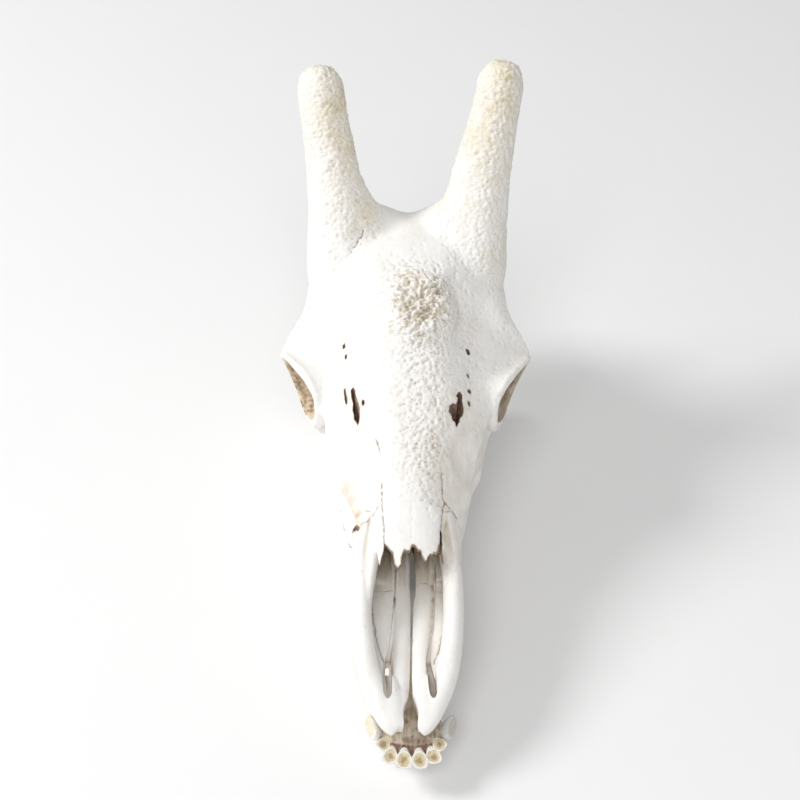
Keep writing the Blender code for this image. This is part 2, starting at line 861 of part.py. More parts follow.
def keep_largest(piece):
    """Drops the crumbs that a cut leaves beside the main body."""
    found = islands(piece)
    for crumb in found[1:]:
        bpy.data.objects.remove(crumb)
    return found[0]


def split_by_side(piece):
    """The two largest bodies of a piece: the animal's left one first."""
    found = islands(piece)
    for crumb in found[2:]:
        bpy.data.objects.remove(crumb)
    return sorted(found[:2], key=lambda body: -body.data.vertices[0].co.x)


def grow_teeth(bone, teeth):
    """One Boolean union of the bone with all the teeth that stand in it."""
    group = bpy.data.collections.new("teeth")
    bpy.context.scene.collection.children.link(group)
    for tooth in teeth:
        bpy.context.scene.collection.objects.unlink(tooth)
        group.objects.link(tooth)
    union = bone.modifiers.new("teeth", "BOOLEAN")
    union.operation = "UNION"
    union.solver = "MANIFOLD"
    union.operand_type = "COLLECTION"
    union.collection = group
    settle(bone)
    for tooth in teeth:
        bpy.data.objects.remove(tooth)
    bpy.data.collections.remove(group)


def separate_skull(skull):
    """The upper skull parted into its bones, with the upper cheek teeth in the snout."""
    parts = {}
    for way, side in ((1, "left"), (-1, "right")):
        horn_part, skull = part_along(skull, horn_region(way))
        parts["ossicone_" + side] = keep_largest(horn_part)
    boss_part, skull = part_along(skull, boss_region())
    parts["median_ossicone"] = keep_largest(boss_part)
    snout, skull = part_along(skull, snout_region())
    nose, snout = part_along(snout, nose_region())
    left, right = split_by_side(nose)
    parts["premaxilla_left"] = left
    parts["premaxilla_right"] = right
    parts["cranium"] = keep_largest(skull)
    parts["snout"] = keep_largest(snout)
    grow_teeth(parts["snout"], cheek_row(1, True) + cheek_row(-1, True))
    for piece in parts.values():
        tip_skull(piece)
    room = both([jaw_knuckle(JOINT_GAP), jaw_ramus(JAW_ROOM), jaw_hook(JAW_ROOM)])
    combine(parts["cranium"], room, "DIFFERENCE")
    parts["cranium"] = keep_largest(parts["cranium"])
    return parts


def separate_jaw(jaw):
    """The lower jaw parted along its midline, with the teeth of each side."""
    parts = {}
    for way, side in ((1, "left"), (-1, "right")):
        half = add_object("jaw_half", jaw.data.copy())
        edge = way * PARTING_GAP / 2
        far = way * 200
        combine(half, [prism("side", [(-100, -60), (700, -60), (700, 300), (-100, 300)],
                             edge, far)], "INTERSECT")
        teeth = cheek_row(way, False)
        for tooth in teeth:
            tip_skull(tooth)
        grow_teeth(half, teeth + cutting_row(way))
        half = keep_largest(half)
        swing_jaw(half)
        parts["mandible_" + side] = half
    bpy.data.objects.remove(jaw)
    return parts


def finish(parts):
    """Names, colours and one collection for all the bones, standing centred on the table."""
    corners = [v.co for piece in parts.values() for v in piece.data.vertices]
    low = Vector([min(c[i] for c in corners) for i in range(3)])
    high = Vector([max(c[i] for c in corners) for i in range(3)])
    shift = -Vector(((low.x + high.x) / 2, (low.y + high.y) / 2, low.z))
    group = bpy.data.collections.new("Giraffe skull")
    bpy.context.scene.collection.children.link(group)
    for name, piece in parts.items():
        piece.data.transform(Matrix.Translation(shift))
        piece.name = name
        piece.data.name = name
        bpy.context.scene.collection.objects.unlink(piece)
        group.objects.link(piece)
        material = bpy.data.materials.new(name)
        material.use_nodes = True
        shader = material.node_tree.nodes["Principled BSDF"]
        colour = HORN_BONE if "ossicone" in name else BONE
        material.diffuse_color = (*colour, 1.0)
        shader.inputs["Base Color"].default_value = (*colour, 1.0)
        shader.inputs["Roughness"].default_value = BONE_ROUGHNESS
        shader.inputs["Metallic"].default_value = 0.0
        piece.data.materials.clear()
        piece.data.materials.append(material)
    return shift


clear_scene()
bones = separate_skull(build_skull())
bones.update(separate_jaw(build_jaw()))
shift = finish(bones)
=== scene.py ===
import math
import random

import bmesh
import bpy
import numpy as np
from mathutils import Matrix, Vector, noise
from mathutils.bvhtree import BVHTree
from mathutils.kdtree import KDTree


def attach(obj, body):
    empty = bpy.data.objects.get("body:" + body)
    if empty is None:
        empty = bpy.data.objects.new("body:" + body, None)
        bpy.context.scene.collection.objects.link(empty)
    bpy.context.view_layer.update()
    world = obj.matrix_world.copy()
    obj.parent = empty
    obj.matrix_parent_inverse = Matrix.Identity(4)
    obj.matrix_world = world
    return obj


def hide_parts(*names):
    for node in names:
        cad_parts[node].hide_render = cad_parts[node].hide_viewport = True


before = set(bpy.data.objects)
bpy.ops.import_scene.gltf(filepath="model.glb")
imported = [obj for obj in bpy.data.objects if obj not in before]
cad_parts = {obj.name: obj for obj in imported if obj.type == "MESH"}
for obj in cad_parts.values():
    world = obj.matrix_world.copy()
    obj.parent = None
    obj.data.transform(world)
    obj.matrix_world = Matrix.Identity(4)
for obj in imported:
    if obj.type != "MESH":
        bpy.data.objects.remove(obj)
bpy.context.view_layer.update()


# Upper skull, modelled as one mass of bone.
# The brain case, face, snout and horn cores of a bull giraffe are grown together. They are modelled
# as one bone in its own level frame: x to the animal's left, s from the upper jaw's tip backwards,
# z above the palate, all in millimetres. Every hollow and slit is cut into that bone.

MM = 0.001
SIDES = ((1, "left"), (-1, "right"))
BONE_GRAIN = 1.35                # size of the finest faces on the bone
CORE_GRAIN = 2.0                 # the same for the core that the limbs grow on
SOFTENING = 9                    # rounds of smoothing after each melt
HORN_TIP = 25.2                  # radius of the horn cores below their rounded ends
HORN_BASE = 152.0                # level where the horn cores rise from the skull
HORN_LONGER = {1: 2.0, -1: -5.5}
HORN_SPREAD = 0.22               # how far a longer core runs outwards and backwards as it rises
HORN_LEAN = 0.8
SADDLE_SIDE = 2.5
BOSS = (9, 414)                  # middle of the boss, which sits a little to the animal's left
BOSS_TILT = (12, 0, 0)
SOCKET_TURN = (0, 0, -20)        # the eye sockets look a little forwards


def place(x, s, z):
    return Vector((x, s, z)) * MM


def add_object(name, data):
    made = bpy.data.objects.new(name, data)
    bpy.context.scene.collection.objects.link(made)
    return made


def mesh_of(work, name):
    mesh = bpy.data.meshes.new(name)
    work.to_mesh(mesh)
    work.free()
    return mesh


def squared(angle, power):
    """A point of a circle, pushed out towards the square as the power falls below 1."""
    return tuple(math.copysign(abs(part) ** power, part) for part in (math.cos(angle), math.sin(angle)))


def ring(centre, side, rise, half_side, half_rise, taper, squareness, count):
    """One cross-section: a superellipse whose upper half is narrowed by taper."""
    points = []
    for i in range(count):
        across, up = squared(2 * math.pi * i / count, 2 / squareness)
        width = half_side * across * (1 - taper * max(up, 0.0))
        points.append(centre + side * width * MM + rise * half_rise * up * MM)
    return points


def skin(name, rings, closed=False):
    """A skin over a row of rings, with flat ends unless the row closes on itself."""
    work = bmesh.new()
    rows = [[work.verts.new(p) for p in points] for points in rings]
    count = len(rows[0])
    for one, two in zip(rows, rows[1:] + (rows[:1] if closed else [])):
        for i in range(count):
            j = (i + 1) % count
            work.faces.new((one[i], one[j], two[j], two[i]))
    if not closed:
        work.faces.new(rows[0])
        work.faces.new(rows[-1])
    bmesh.ops.recalc_face_normals(work, faces=work.faces)
    return add_object(name, mesh_of(work, name))


def eased(stations, steps, closed=False):
    """The stations with more between them, on a smooth curve through every column."""
    count = len(stations)
    made = []
    for i in range(count if closed else count - 1):
        near = [i + k for k in (-1, 0, 1, 2)]
        a, b, c, d = (stations[k % count if closed else min(max(k, 0), count - 1)] for k in near)
        for part in range(steps):
            t = part / steps
            row = []
            for p, q, r, u in zip(a, b, c, d):
                bend = 2 * p - 5 * q + 4 * r - u
                twist = -p + 3 * q - 3 * r + u
                row.append(0.5 * (2 * q + (r - p) * t + bend * t * t + twist * t ** 3))
            made.append(tuple(row))
    return made if closed else made + [tuple(stations[-1])]


def over_the_middle(half):
    """A path from one side to the midline, carried on down the other side."""
    return half + [(-x, *rest) for x, *rest in reversed(half[:-1])]


def block(name, stations, squareness=2.6):
    """A body along the head. Stations: (s, bottom, top, half width, taper)."""
    rings = []
    for s, bottom, top, half, taper in eased(stations, 8):
        rings.append(ring(place(0, s, (bottom + top) / 2), Vector((1, 0, 0)), Vector((0, 0, 1)),
                          half, (top - bottom) / 2, taper, squareness, 96))
    return skin(name, rings)


def limb(name, stations, side=(1, 0, 0), squareness=2.0, steps=8, count=40, closed=False):
    """A bar along a bent path. Stations: (x, s, z, half size along side, half size across it)."""
    rows = eased(stations, steps, closed)
    centres = [place(*row[:3]) for row in rows]
    last = len(rows) - 1
    rings = []
    for i, row in enumerate(rows):
        if closed:
            before, after = centres[i - 1], centres[(i + 1) % len(rows)]
        else:
            before, after = centres[max(i - 1, 0)], centres[min(i + 1, last)]
        along = (after - before).normalized()
        across = Vector(side)
        across = (across - along * across.dot(along)).normalized()
        rings.append(ring(centres[i], across, along.cross(across), row[3], row[4], 0.0,
                          squareness, count))
    return skin(name, rings, closed)


def ball(name, centre, radii, turn=(0.0, 0.0, 0.0)):
    """An ellipsoid. turn holds degrees about x, y and z."""
    work = bmesh.new()
    bmesh.ops.create_uvsphere(work, u_segments=64, v_segments=32, radius=1.0)
    turned = Matrix.Identity(4)
    for angle, axis in zip(turn, "XYZ"):
        turned = Matrix.Rotation(math.radians(angle), 4, axis) @ turned
    scaled = Matrix.Diagonal((*[r * MM for r in radii], 1.0))
    work.transform(Matrix.Translation(place(*centre)) @ turned @ scaled)
    return add_object(name, mesh_of(work, name))


def plan_prism(name, outline, z_from, z_to):
    """A top-view outline of (x, s) corners, run up the head from z_from to z_to."""
    return skin(name, [[place(x, s, z) for x, s in outline] for z in (z_from, z_to)])


def side_prism(name, outline, x_from, x_to):
    """A side-view outline of (s, z) corners, run across the head from x_from to x_to."""
    return skin(name, [[place(x, s, z) for s, z in outline] for x in (x_from, x_to)])


def mirrored(piece):
    mesh = piece.data.copy()
    mesh.transform(Matrix.Scale(-1, 4, (1, 0, 0)))
    mesh.flip_normals()
    return add_object(piece.name + "_other_side", mesh)


def both(pieces):
    return pieces + [mirrored(piece) for piece in pieces]


def joined(name, pieces):
    work = bmesh.new()
    for piece in pieces:
        work.from_mesh(piece.data)
        bpy.data.objects.remove(piece)
    return add_object(name, mesh_of(work, name))


def set_up(thing, **settings):
    for key, value in settings.items():
        setattr(thing, key, value)


def change(piece, kind, **settings):
    """Adds a modifier of the kind, which settle() then works into the mesh."""
    set_up(piece.modifiers.new(kind.lower(), kind), **settings)


def settle(piece):
    bpy.context.view_layer.update()
    graph = bpy.context.evaluated_depsgraph_get()
    mesh = bpy.data.meshes.new_from_object(piece.evaluated_get(graph))
    piece.modifiers.clear()
    piece.data = mesh


def melt(name, pieces, voxel):
    """Pieces that overlap become one bone: joined, melted by voxels and softened at the creases."""
    made = joined(name, pieces)
    change(made, "REMESH", mode="VOXEL", voxel_size=voxel * MM)
    change(made, "SMOOTH", factor=0.5, iterations=SOFTENING)
    settle(made)
    return made


def carve(piece, cutters):
    """Takes all the cutters out of the piece in one go."""
    group = bpy.data.collections.new("cutters")
    bpy.context.scene.collection.children.link(group)
    for cutter in cutters:
        bpy.context.scene.collection.objects.unlink(cutter)
        group.objects.link(cutter)
    change(piece, "BOOLEAN", operation="DIFFERENCE", solver="MANIFOLD",
           operand_type="COLLECTION", collection=group)
    settle(piece)
    for cutter in cutters:
        bpy.data.objects.remove(cutter)
    bpy.data.collections.remove(group)


def forehead():
    """The forehead, which spreads like a tent to the rims of the orbits and the horn bases.

    Each station gives half of the upper surface as (x, z) from the midline outwards.
    """
    halves = [
        (292, ((0, 131), (28, 127), (46, 116), (58, 104), (68, 92), (76, 78))),
        (330, ((0, 148), (30, 143), (50, 130), (64, 117), (78, 105), (88, 90))),
        (356, ((0, 160), (32, 154), (52, 139), (70, 122), (88, 111), (101, 100))),
        (380, ((0, 171), (33, 165), (52, 148), (72, 129), (96, 118), (116, 107))),
        (402, ((0, 181), (35, 174), (53, 155), (74, 135), (100, 125), (130, 110))),
        (413, ((0, 186), (36, 178), (54, 158), (76, 138), (102, 128), (136, 107))),
        (428, ((0, 190), (38, 183), (56, 163), (77, 143), (104, 133), (128, 117))),
        (448, ((0, 193), (42, 187), (60, 172), (78, 157), (98, 146), (114, 130))),
        (468, ((0, 195), (44, 190), (62, 179), (80, 166), (97, 153), (109, 138))),
        (500, ((0, 195), (44, 191), (62, 183), (80, 173), (94, 160), (105, 146)))]
    rings = []
    for s, *flat in eased([(s,) + sum(half, ()) for s, half in halves], 8):
        half = list(zip(flat[::2], flat[1::2]))
        edge_x, edge_z = half[-1]
        half = [tuple(p) for p in eased(half, 4)]
        under = [(edge_x * 0.97, edge_z - 10), (edge_x * 0.6, edge_z - 24)]
        top = [(-x, z) for x, z in reversed(half[1:])] + half
        outline = top + under + [(-x, z) for x, z in reversed(under)]
        rings.append([place(x, s, z) for x, z in outline])
    return skin("forehead", rings)


def roof_and_brain_case():
    """Face block, brain case with its sinus dome, bridge between the horns, boss and forehead."""
    face = block("face_block", [
        (176, 0, 86, 56, 0.42), (205, 0, 95, 57, 0.42), (232, 0, 106, 61, 0.42),
        (258, 0, 117, 70, 0.42), (285, 0, 128, 76, 0.40), (315, 0, 141, 83, 0.32),
        (345, 0, 153, 87, 0.26), (385, 4, 160, 86, 0.26), (410, 16, 160, 74, 0.25)])
    dome = block("dome_block", [
        (340, 90, 154, 54, 0.25), (375, 80, 171, 58, 0.20), (412, 64, 186, 56, 0.16),
        (450, 66, 193, 56, 0.10), (490, 70, 195, 58, 0.06), (525, 72, 191, 60, 0.06),
        (550, 68, 179, 60, 0.06), (575, 60, 157, 58, 0.08), (600, 52, 133, 56, 0.12),
        (622, 50, 110, 48, 0.20), (634, 52, 96, 36, 0.25)])
    bridge = over_the_middle([
        (82, 562, 219, 29, 29), (71, 545, 194, 35, 33), (56, 534, 174, 38, 35),
        (33, 536, 157, 43, 37), (17, 535, 147, 45, 37), (0, 533, 142, 46, 38)])
    saddle = limb("saddle", [(x + SADDLE_SIDE, *rest) for x, *rest in bridge], side=(0, 1, 0))
    knob = ball("knob", (*BOSS, 172), (43, 47, 29), turn=BOSS_TILT)
    return [face, dome, saddle, knob, forehead()]


def horn(way):
    """One paired horn core, a blunt cone of bone that leans back and a little outwards."""
    tip = HORN_TIP
    stations = [
        (62, 462, 104, 30, 32), (66, 484, 128, 37.5, 39), (70, 506, 152, 39.5, 40),
        (75.5, 538, 190, 34, 36), (79.5, 556, 212, 31, 32), (83.5, 573, 232, 29, 29),
        (91, 601, 267, tip + 0.4, tip + 0.4), (96, 622, 292, tip, tip),
        (98, 630, 302, tip - 0.8, tip - 0.8), (99.6, 638, 311.5, tip - 5, tip - 5),
        (100.4, 643, 317, tip - 11, tip - 11), (100.8, 645, 319.5, 5, 5)]
    longer = HORN_LONGER[way] / (stations[-1][2] - HORN_BASE)
    grown = []
    for x, s, z, a, b in stations:
        more = longer * max(z - HORN_BASE, 0)
        grown.append((way * (x + more * HORN_SPREAD), s + more * HORN_LEAN, z + more, a, b))
    return limb("horn", grown)


def orbit_and_cheek():
    """The ring of bone round the eye socket, and the cheek bone with its arch to the ear."""
    rim = limb("orbit_rim", [
        (132.5, 407, 106, 3.6, 4), (123, 388, 117, 3.8, 4), (105, 363, 118, 4, 4.5),
        (94.5, 348, 101, 4.6, 4.5), (93, 342, 74, 5.5, 4.5), (96, 353, 55, 5.5, 5),
        (106, 379, 48, 5, 6), (116, 403, 60, 4.6, 5), (127, 412, 84, 3.6, 4)], closed=True)
    brow = limb("brow_edge", [
        (126, 403, 108.5, 4.5, 4), (117, 388, 113.5, 8, 4.5), (101, 368, 114, 11, 5),
        (90, 354, 104, 10, 6), (86, 347, 88, 8, 6)])
    arch = limb("cheek_bar", [
        (60, 256, 32, 6, 12), (71, 290, 36, 8, 14), (78, 325, 42, 8, 14), (86, 356, 46, 8, 12),
        (102, 385, 46, 7, 10), (112, 412, 51, 6, 9), (113, 445, 61, 5, 8), (104, 480, 73, 5, 8),
        (92, 508, 84, 6, 9), (80, 528, 92, 8, 11)])
    socket = limb("jaw_socket", [
        (40, 552, 104, 32, 30), (64, 540, 96, 24, 18), (88, 526, 92, 15, 10),
        (96, 522, 90, 10, 7), (100, 520, 89, 4, 3)], side=(0, 1, 0))
    return [rim, brow, arch, socket]


def snout_side():
    """The thin wall of the snout and the rounded bar that frames the nose opening."""
    wall = limb("nose_wall", [
        (12, 3, 4, 8, 3.5), (27, 26, 8, 8, 7), (38, 50, 11, 7, 9), (45, 78, 15, 6, 13),
        (49, 112, 20, 5, 18), (50, 150, 26, 5, 24), (50, 185, 32, 6, 30), (49, 215, 38, 8, 34)])
    bar = limb("nose_bar", [
        (11, 2, 6, 7.5, 4.5), (18, 8, 9, 9.5, 6.5), (24, 20, 13, 11.5, 8.5), (30, 33, 17, 12, 9.5),
        (35.5, 48, 21, 12, 10.5), (41, 67, 27, 11.5, 11.5), (44, 87, 32, 11, 12),
        (46, 112, 37, 10.5, 12.5), (46.5, 140, 43, 10.5, 13.5), (45, 168, 50, 10.5, 14.5),
        (41, 194, 60, 11, 15), (35, 218, 72, 12, 14)])
    return [wall, bar]


def palate():
    """Nasal bones, floor of the nose with a raised strip on each side of the gap, and front plates."""
    roof = block("nasal_roof", [(138, 65, 77, 27, 0.2), (160, 68, 83, 31, 0.25),
                                (185, 70, 90, 35, 0.3), (215, 74, 99, 36, 0.35)])
    plate = block("palate_plate", [
        (3, 0, 8, 16, 0.0), (28, 0, 9, 30, 0.0), (60, 0, 9, 42, 0.0), (120, 0, 9, 50, 0.0),
        (200, 0, 10, 50, 0.0), (300, 0, 10, 48, 0.0), (388, 0, 12, 46, 0.0)], squareness=4.0)
    left = limb("strip_left", [
        (11, 4, 7, 9, 5), (13, 20, 11, 11, 7), (13, 36, 12, 10, 7.5), (13, 50, 10, 8.5, 6.5),
        (15, 110, 9, 9, 6.5), (18, 160, 9, 11, 7), (20, 205, 11, 11.5, 8), (21, 290, 22, 11, 9)])
    right = limb("strip_right", [
        (-9, 4, 7, 9, 5), (-10, 20, 11, 11, 7), (-9, 36, 12, 10, 7.5), (-8, 50, 10, 8.5, 6.5),
        (-5, 110, 9, 8, 6), (-4, 160, 9, 8, 6), (-4, 205, 11, 9, 7), (-4, 290, 22, 9, 9)])
    tips = both([limb("front_plate", [
        (14, 5, 8, 11, 5.5), (17, 16, 12, 14, 7.5), (20, 28, 15, 15.5, 8.5),
        (22, 40, 16, 15, 8.5), (23, 52, 15, 13, 7), (24, 60, 13, 10, 4)])])
    shoulder = limb("bar_shoulder", [
        (-32, 200, 72, 8, 10), (-32.5, 184, 67, 8, 10), (-35.5, 164, 59, 6, 10),
        (-38.5, 142, 49, 4.8, 8), (-41, 120, 41, 3.5, 6)])
    return [roof, plate, left, right, shoulder] + tips


def skull_underside():
    """Beam under the brain case, neck crest, condyles, ear capsules and pipes, and throat plates."""
    beam = limb("throat_beam", [
        (0, 380, 50, 18, 16), (0, 430, 62, 30, 24), (0, 480, 64, 34, 24), (0, 530, 60, 33, 20),
        (0, 590, 55, 32, 16), (0, 632, 54, 26, 14)])
    crest = limb("neck_crest", over_the_middle([
        (57, 604, 84, 12, 9), (46, 614, 98, 9, 9), (24, 622, 106, 8, 9), (0, 624, 107, 8, 9)]),
        side=(0, 1, 0))
    wing = limb("wing_plate", [(41, 394, 34, 6, 28), (35, 425, 38, 4.5, 28),
                               (30, 460, 42, 4.5, 20), (26, 495, 48, 5, 12)])
    condyle = limb("condyle", [
        (33, 622, 92, 5, 6), (33, 632, 84, 9.5, 9), (30.5, 642, 74, 12.5, 12),
        (25, 646, 62, 13, 12.5), (17, 642, 50, 11, 10.5), (9, 632, 43, 7, 8), (4, 622, 42, 3, 4)])
    root = ball("condyle_root", (18, 621, 66), (29, 20, 29), turn=(-16, 0, -12))
    ridge = limb("nape_ridge", [(0, 622, 112, 4, 5), (0, 628, 105, 8, 8), (0, 627, 95, 6, 8),
                                (0, 622, 88, 3, 4)])
    capsule = ball("ear_capsule", (34, 566, 45), (12, 22, 16), turn=(12, 0, 18))
    spur = limb("neck_spur", [(50, 602, 92, 11, 16), (54, 606, 56, 9, 12), (51, 606, 22, 6, 8),
                              (48, 604, 8, 3.5, 4)])
    pipe = limb("ear_pipe", [(50, 566, 74, 12, 12), (64, 567.5, 81, 9.5, 9.5),
                             (69, 568, 84, 8, 8), (71.5, 568.4, 85.3, 5, 5)], side=(0, 1, 0))
    return [beam, crest, ridge] + both([wing, condyle, root, capsule, spur, pipe])


def tooth_ridge():
    return limb("tooth_ridge", [
        (42, 214, 9, 8, 8), (48, 236, 9, 13, 10), (54, 280, 12, 16, 14), (60, 330, 15, 18, 17),
        (62, 380, 16, 17, 18), (57, 404, 20, 11, 13)], squareness=2.6)


def hollows():
    """Eye sockets, temples, the room of the jaw joint, nose cavity and throat."""
    sides = [ball("socket_cup", (113, 376, 82), (38, 33, 30), turn=SOCKET_TURN),
             ball("socket_depth", (94, 386, 82), (32, 28, 24), turn=SOCKET_TURN),
             ball("temple_hollow", (99, 486, 88), (42, 66, 42)),
             ball("joint_space", (92, 520, 52), (38, 40, 28))]
    nose = block("nose_hollow", [
        (120, 9, 64, 40, 0.3), (160, 9, 74, 43, 0.42), (200, 10, 84, 44, 0.46),
        (250, 14, 98, 44, 0.46), (295, 28, 106, 30, 0.4), (330, 46, 104, 10, 0.3)])
    throat = ball("throat_hollow", (0, 425, 18), (28, 48, 26), turn=(10, 0, 0))
    return both(sides) + [nose, throat]


# Openings in the face.
# The ragged front edge of the nasal bones, the gap and slots in the floor of the nose, the tear
# slits in front of the orbits, and the small holes for nerves and vessels, cut clean into the bone.

EDGE_LEVELS = (58, 110)
NASAL_EDGE = (
    (36, 110), (35.5, 168), (34.4, 178), (33.4, 189), (32.8, 182), (31.9, 176), (30.6, 172.5),
    (29.9, 168), (27.7, 163.1), (25.6, 164.2), (24.3, 159.9), (22.3, 161.5), (20, 158.2),
    (18.6, 154.4), (17.2, 153), (15.7, 154), (13.4, 158.6), (11.9, 164.2), (10.2, 163.6),
    (8.4, 165.3), (6.6, 168.2), (5, 169.5), (3, 168.7), (1.5, 163.3), (-1.5, 162.7),
    (-4.2, 163.9), (-6.7, 158.5), (-7.5, 149.5), (-9.4, 146.2), (-10.5, 144.5), (-12, 146.6),
    (-14.2, 150), (-14.8, 154), (-15.5, 160.6), (-18, 164), (-20.4, 166.5), (-22.4, 169.4),
    (-24, 171.5), (-24.8, 165), (-27, 158), (-29, 150), (-31, 138), (-36, 110))
LEFT_SLOT = (                    # (s, distance from the midline, half width)
    (29, 25, 1.2), (33, 25, 3.3), (39, 24.8, 4.0), (60, 23.6, 4.0), (80, 21.5, 2.6),
    (100, 23.6, 1.3), (125, 27.6, 1.1), (160, 29.6, 1.0), (200, 30.5, 1.0))
RIGHT_SLOT = (
    (28, 20, 1.2), (32, 20, 3.6), (38, 20, 4.8), (60, 20, 4.8), (78, 19.6, 3.6), (100, 16, 1.8),
    (150, 12.2, 1.2), (196, 9.7, 1.0))
SLOT_DEEP_UP_TO = 84             # the slots are deep in front of this station, and grooves behind it
SLOT_OPEN = (66, 78)             # between these stations they run right through the palate
GROOVE_FLOOR, SLOT_FLOOR, THROUGH, ABOVE = 4, 1.2, -20, 40


def floor_slots():
    """The midline gap with its flared end at the tip, and a slot with its groove on each side."""
    cutters = [plan_prism("midline_gap", [
        (-14, -20), (19, -20), (14, -5), (10.6, 1), (9.6, 7), (10.6, 14), (10.4, 20), (8.8, 27),
        (6.4, 33), (4.9, 38), (4.7, 60), (5.6, 100), (7.2, 145), (9.8, 160), (10.2, 180),
        (10, 200), (8.5, 222), (6.5, 222), (4.5, 200), (4.0, 172), (4.6, 145), (3.4, 100),
        (2.3, 60), (1.2, 38), (-0.8, 33), (-3.4, 27), (-4.8, 20), (-5, 14), (-4.2, 7),
        (-5.2, 1), (-9, -5)], THROUGH, ABOVE)]
    for way, line in ((1, LEFT_SLOT), (-1, RIGHT_SLOT)):
        line = [tuple(row) for row in eased(line, 4)]
        front = [row for row in line if row[0] <= SLOT_DEEP_UP_TO]
        through = [(s, x, half * 0.45) for s, x, half in line if SLOT_OPEN[0] <= s <= SLOT_OPEN[1]]
        for depth, stations in ((GROOVE_FLOOR, line), (SLOT_FLOOR, front), (THROUGH, through)):
            outer = [(way * (x + half), s) for s, x, half in stations]
            inner = [(way * (x - half), s) for s, x, half in reversed(stations)]
            cutters.append(plan_prism("slot", outer + inner, depth, ABOVE))
    return cutters


FACE_SLITS = (                   # outline as (x, s), lowest and highest level
    (((-59.4, 339), (-57.6, 340), (-56, 336), (-55.2, 330.6), (-53, 324.6), (-50.8, 316),
      (-50.2, 308), (-51.2, 303), (-52, 301.6), (-53.2, 305), (-55.4, 309), (-56, 314),
      (-57.2, 319), (-56.9, 325), (-58.4, 330.4), (-59, 335)), 88, 140),
    (((-66.6, 344.6), (-65.7, 345), (-65, 339), (-63.6, 333.6), (-63.8, 328.6), (-64.8, 330),
      (-65.8, 336)), 104, 132),
    (((-47.8, 322.8), (-46.3, 322), (-45.8, 319.6), (-46.6, 317.8), (-47.6, 319.2)), 118, 140),
    (((53.4, 334.6), (55, 335.4), (56.6, 333.6), (56, 328.6), (58, 322.6), (57.2, 315.6),
      (54.2, 311), (52.4, 305), (50.6, 300.6), (49.4, 304), (47, 304.6), (45, 309.6), (42.8, 312),
      (43.8, 316.6), (46.8, 320.6), (50.2, 321), (52, 326), (52, 330.4)), 88, 140),
    (((65, 346.5), (66.6, 345.5), (66.4, 342.6), (64.8, 343)), 104, 132),
    (((63.6, 333), (65.2, 332.6), (65, 329), (63.4, 329.6)), 104, 126),
    (((63, 362), (64.6, 361.6), (64.4, 358.4), (62.8, 359)), 116, 136),
    (((62.8, 388), (64.8, 388.6), (65.8, 386.4), (65.2, 384), (63.4, 383.8)), 118, 148),
    (((-68.4, 394), (-66.8, 394.4), (-66.6, 390.6), (-68.2, 390.4)), 126, 142),
    (((-55.6, 210), (-54, 209.6), (-52.2, 206), (-50, 202), (-50.4, 200), (-52.8, 202.4),
      (-54.8, 206)), 42, 86),
    (((-66, 381.4), (-64.6, 381.6), (-64.6, 377.6), (-65.8, 377.8)), 124, 142),
)


def face_slits():
    """Tear slits, nerve holes, pits and the ear holes."""
    cutters = [plan_prism("slit", outline, low, high) for outline, low, high in FACE_SLITS]
    nerve = limb("nerve_hole", [(74, 200, 38, 3.5, 6), (60, 211, 39, 4, 7), (50, 228, 40, 3, 5)])
    ear = limb("ear_hole", [(80, 570, 90, 5, 5), (66, 567.7, 82, 4, 4), (54, 566, 76, 2, 2)],
               side=(0, 1, 0))
    return cutters + both([nerve, ear])


def build_skull():
    """The whole upper skull, melted from its bones and opened by its hollows and slits."""
    shell = ball("orbit_shell", (86, 385, 80), (41, 41, 38), turn=SOCKET_TURN)
    core = melt("skull_core", roof_and_brain_case() + both([tooth_ridge(), shell]), CORE_GRAIN)
    carve(core, hollows())
    skull = melt("skull", [core, horn(1), horn(-1)] + palate() + skull_underside()
                 + both(orbit_and_cheek() + snout_side()), BONE_GRAIN)
    spinal = ball("spinal_hole", (0, 650, 84), (15, 40, 13), turn=(8, 0, 0))
    under_tips = limb("under_tips", [
        (0, 118, 56, 26, 9), (0, 138, 63.5, 26, 9), (0, 160, 69.5, 28, 9), (0, 185, 76, 31, 9),
        (0, 208, 83, 31, 8)], squareness=2.6)
    carve(skull, [spinal, under_tips, plan_prism("nasal_edge", NASAL_EDGE, *EDGE_LEVELS)]
          + floor_slots() + face_slits())
    return skull


skull = build_skull()


# Surface of the bone.
# Living bone is never smooth: the horn cores are grained like coarse sandpaper, the boss on the
# forehead is pitted by vessels, the seams between bones are fine wavy cracks. They are worked into
# the mesh here, and how deep and how sheltered each place is stays with it for the colours.

ROUGH_BOSS = (9.0, 416.0)        # middle of the rough field on the boss
HORN_FOOT = np.array((70.0, 506.0, 152.0))
HORN_END = np.array((100.8, 645.0, 319.5))
EYE = (113, 376.0, 82.0)         # middle of the left eye socket
PITS = 7400
RAY_START = 0.0012               # rays start this far off the skin, in metres
GOLDEN_TURN = 2.39996            # radians between neighbours in an even fan of rays
SPOTS = (                        # (x, s, radius, strength) of brown marks on the face
    (-0.3, 431, 2.6, 1.0), (-7.5, 444, 2.2, 0.8), (11.5, 440, 2.4, 0.7), (2, 446, 3.5, 0.4),
    (20, 398, 3, 0.5), (8, 388, 4, 0.45), (-6, 391, 4, 0.4), (26, 391, 3.5, 0.5), (34, 396, 3, 0.4),
    (38.4, 224.5, 2.2, 0.9), (-52, 222, 5, 0.7), (-57, 230, 4, 0.5), (-31.5, 277, 2.0, 0.6),
    (-51, 318, 3.5, 0.4), (52, 316, 4, 0.3), (-58, 505, 9, 0.22), (-44, 522, 14, 0.3),
    (-65, 254, 9, 0.4), (-62, 238, 10, 0.5), (-61, 224, 6, 0.6), (-55, 212, 5, 0.7),
    (-50, 202, 4, 0.6), (47, 330, 4, 0.25))
